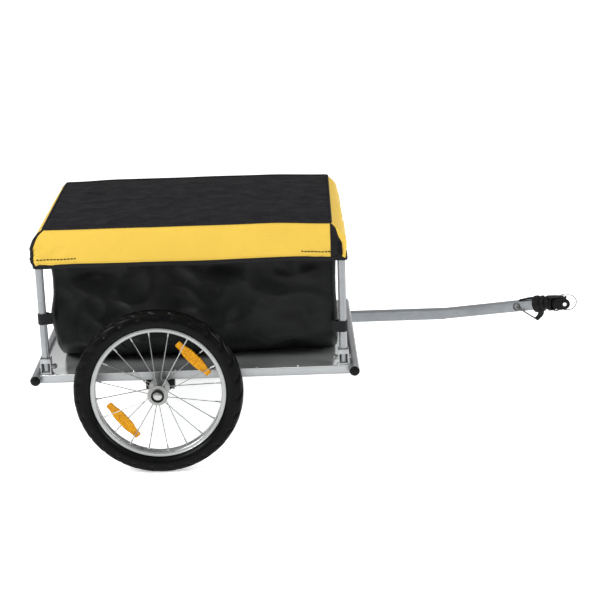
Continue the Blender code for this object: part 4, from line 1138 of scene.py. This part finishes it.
def make_safety_strap():
    """The webbing that hangs from the boot, its end sewn back on itself round the spring hook."""
    left, right = strap_edge(STRAP_LEFT), strap_edge(STRAP_RIGHT)
    low, high = node_box("safety_strap")
    middle_out = float(np.dot((low + high) / 2 - BAR_END, BAR_ACROSS)) / MM
    face, back = [], []
    for a, b in zip(left, right):
        row, behind = [], []
        for q in np.linspace(0, 1, 13):
            p = a + (b - a) * q
            thick = 1.15 * (1 - smooth(abs(q - 0.5), 0.44, 0.5) * 0.6)
            ripple = 0.35 * math.sin(8 * q + 0.2 * p[1])
            row.append(on_bar(p[0], p[1], middle_out - thick + ripple))
            behind.append(on_bar(p[0], p[1], middle_out + thick + ripple))
        face.append(row)
        back.append(behind)
    shape = Shape()
    shape.rows([[*r, *b[::-1]] for r, b in zip(face, back)], across_closed=True)
    shape.rows([face[0], back[0]])
    shape.rows([face[-1], back[-1]])
    piece("strap_web", shape, WEBBING, "tow_bar", ["safety_strap"], sharp=40)
    roll = Shape()
    end = (left[-1] + right[-1]) / 2 - np.array([0.6, 0.8])
    way = unit(right[-1] - left[-1])
    path = [on_bar(*(end + way * step), middle_out) for step in (-6, -2, 2, 6)]
    roll.sweep(path, circle(1.9 * MM, 12))
    piece("strap_roll", roll, WEBBING, "tow_bar", sharp=50)
    seam = [on_bar(*((left[k] + right[k]) / 2), middle_out - 1.3) for k in range(4, 22)]
    stitches("strap_stitches", seam, 3 * MM, 2 * MM, 0.35 * MM, GREY_THREAD, "tow_bar")


# ---- stage


# The studio's brightness near the horizon and overhead, and the heights on its globe between which it grows.
WORLD_HORIZON, WORLD_ZENITH = 0.32, 0.85
HORIZON_TOP, ZENITH_FOOT = 0.15, 0.75
FLOOR_GLOW, FLOOR_HALF = 0.5, 30


def make_stage():
    mesh = bpy.data.meshes.new("floor")
    half = FLOOR_HALF
    corners = [(-half, -half, 0), (half, -half, 0), (half, half, 0), (-half, half, 0)]
    mesh.from_pydata(corners, [], [(0, 1, 2, 3)])
    floor = bpy.data.objects.new("floor", mesh)
    bpy.context.scene.collection.objects.link(floor)
    m = Nodes("floor_white", (0.93, 0.935, 0.93), 0.75)
    m.paint(m.shade(m.noise(3, 2), 0.995, 1.005))
    m.set("Emission Color", (1, 1, 1, 1))
    m.set("Emission Strength", FLOOR_GLOW)
    mesh.materials.append(m.material)


def make_world():
    """A pale studio: bright overhead and dimmer towards the horizon."""
    world = bpy.data.worlds.new("studio")
    world.use_nodes = True
    tree = world.node_tree
    background = tree.nodes["Background"]
    place = tree.nodes.new("ShaderNodeTexCoord")
    axes = tree.nodes.new("ShaderNodeSeparateXYZ")
    height = tree.nodes.new("ShaderNodeMapRange")
    tree.links.new(place.outputs["Generated"], axes.inputs[0])
    tree.links.new(axes.outputs["Z"], height.inputs["Value"])
    values = {
        "From Min": HORIZON_TOP, "From Max": ZENITH_FOOT, "To Min": WORLD_HORIZON, "To Max": WORLD_ZENITH,
    }
    for name, value in values.items():
        height.inputs[name].default_value = value
    tree.links.new(height.outputs[0], background.inputs["Strength"])
    background.inputs["Color"].default_value = (1, 1, 1, 1)
    bpy.context.scene.world = world


def area_light(name, place, target, size, power):
    light = bpy.data.lights.new(name, "AREA")
    light.shape, light.size, light.size_y = "RECTANGLE", size[0], size[1]
    light.energy = power
    obj = bpy.data.objects.new(name, light)
    bpy.context.scene.collection.objects.link(obj)
    obj.location = place
    obj.rotation_mode = "QUATERNION"
    obj.rotation_quaternion = (Vector(target) - Vector(place)).to_track_quat("-Z", "Y")


def make_lights():
    target = (-0.1, 0, 0.3)
    area_light("key", (-2.8, -1.7, 2.6), target, (1.3, 1.0), 105)
    area_light("front", (2.9, -0.9, 1.9), target, (1.5, 1.5), 62)


CAMERA_PLACE = (-0.060, -3.806, 1.445)
CAMERA_PITCH, CAMERA_YAW, CAMERA_ROLL = 16.38, 0.181, -1.816
CAMERA_LENS = 95.37


def make_camera():
    data = bpy.data.cameras.new("camera")
    data.lens, data.sensor_width = CAMERA_LENS, 36
    camera = bpy.data.objects.new("camera", data)
    bpy.context.scene.collection.objects.link(camera)
    p, y, r = (math.radians(a) for a in (CAMERA_PITCH, CAMERA_YAW, CAMERA_ROLL))
    ahead = Vector((math.sin(y) * math.cos(p), math.cos(y) * math.cos(p), -math.sin(p)))
    level = Vector((math.cos(y), -math.sin(y), 0))
    upright = level.cross(ahead)
    right = math.cos(r) * level + math.sin(r) * upright
    up = -math.sin(r) * level + math.cos(r) * upright
    camera.matrix_world = Matrix.Translation(CAMERA_PLACE) @ Matrix((right, up, -ahead)).transposed().to_4x4()
    bpy.context.scene.camera = camera


# ---- the whole

bpy.context.scene.view_settings.view_transform = "Standard"
make_camera()
make_world()
make_lights()
make_stage()
finish_all_cad()
cover, skirt = make_cover()
skirt_map = Skirt(skirt)
cover_trim = make_cover_trim(skirt, skirt_map) + make_cover_stitching(skirt_map)
bag, bag_binding = make_bag()
for side, sy in SIDES.items():
    for end, sx in ENDS.items():
        make_post_strap(side, sy, end, sx)
make_wheels()
make_rivets()
make_lock_nuts()
make_boot()
make_cushion()
make_axle_bush()
make_bar_strap()
make_safety_strap()

for soft in (bag, bag_binding):
    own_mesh(soft)
for soft in [cover, *cover_trim]:
    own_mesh(soft)
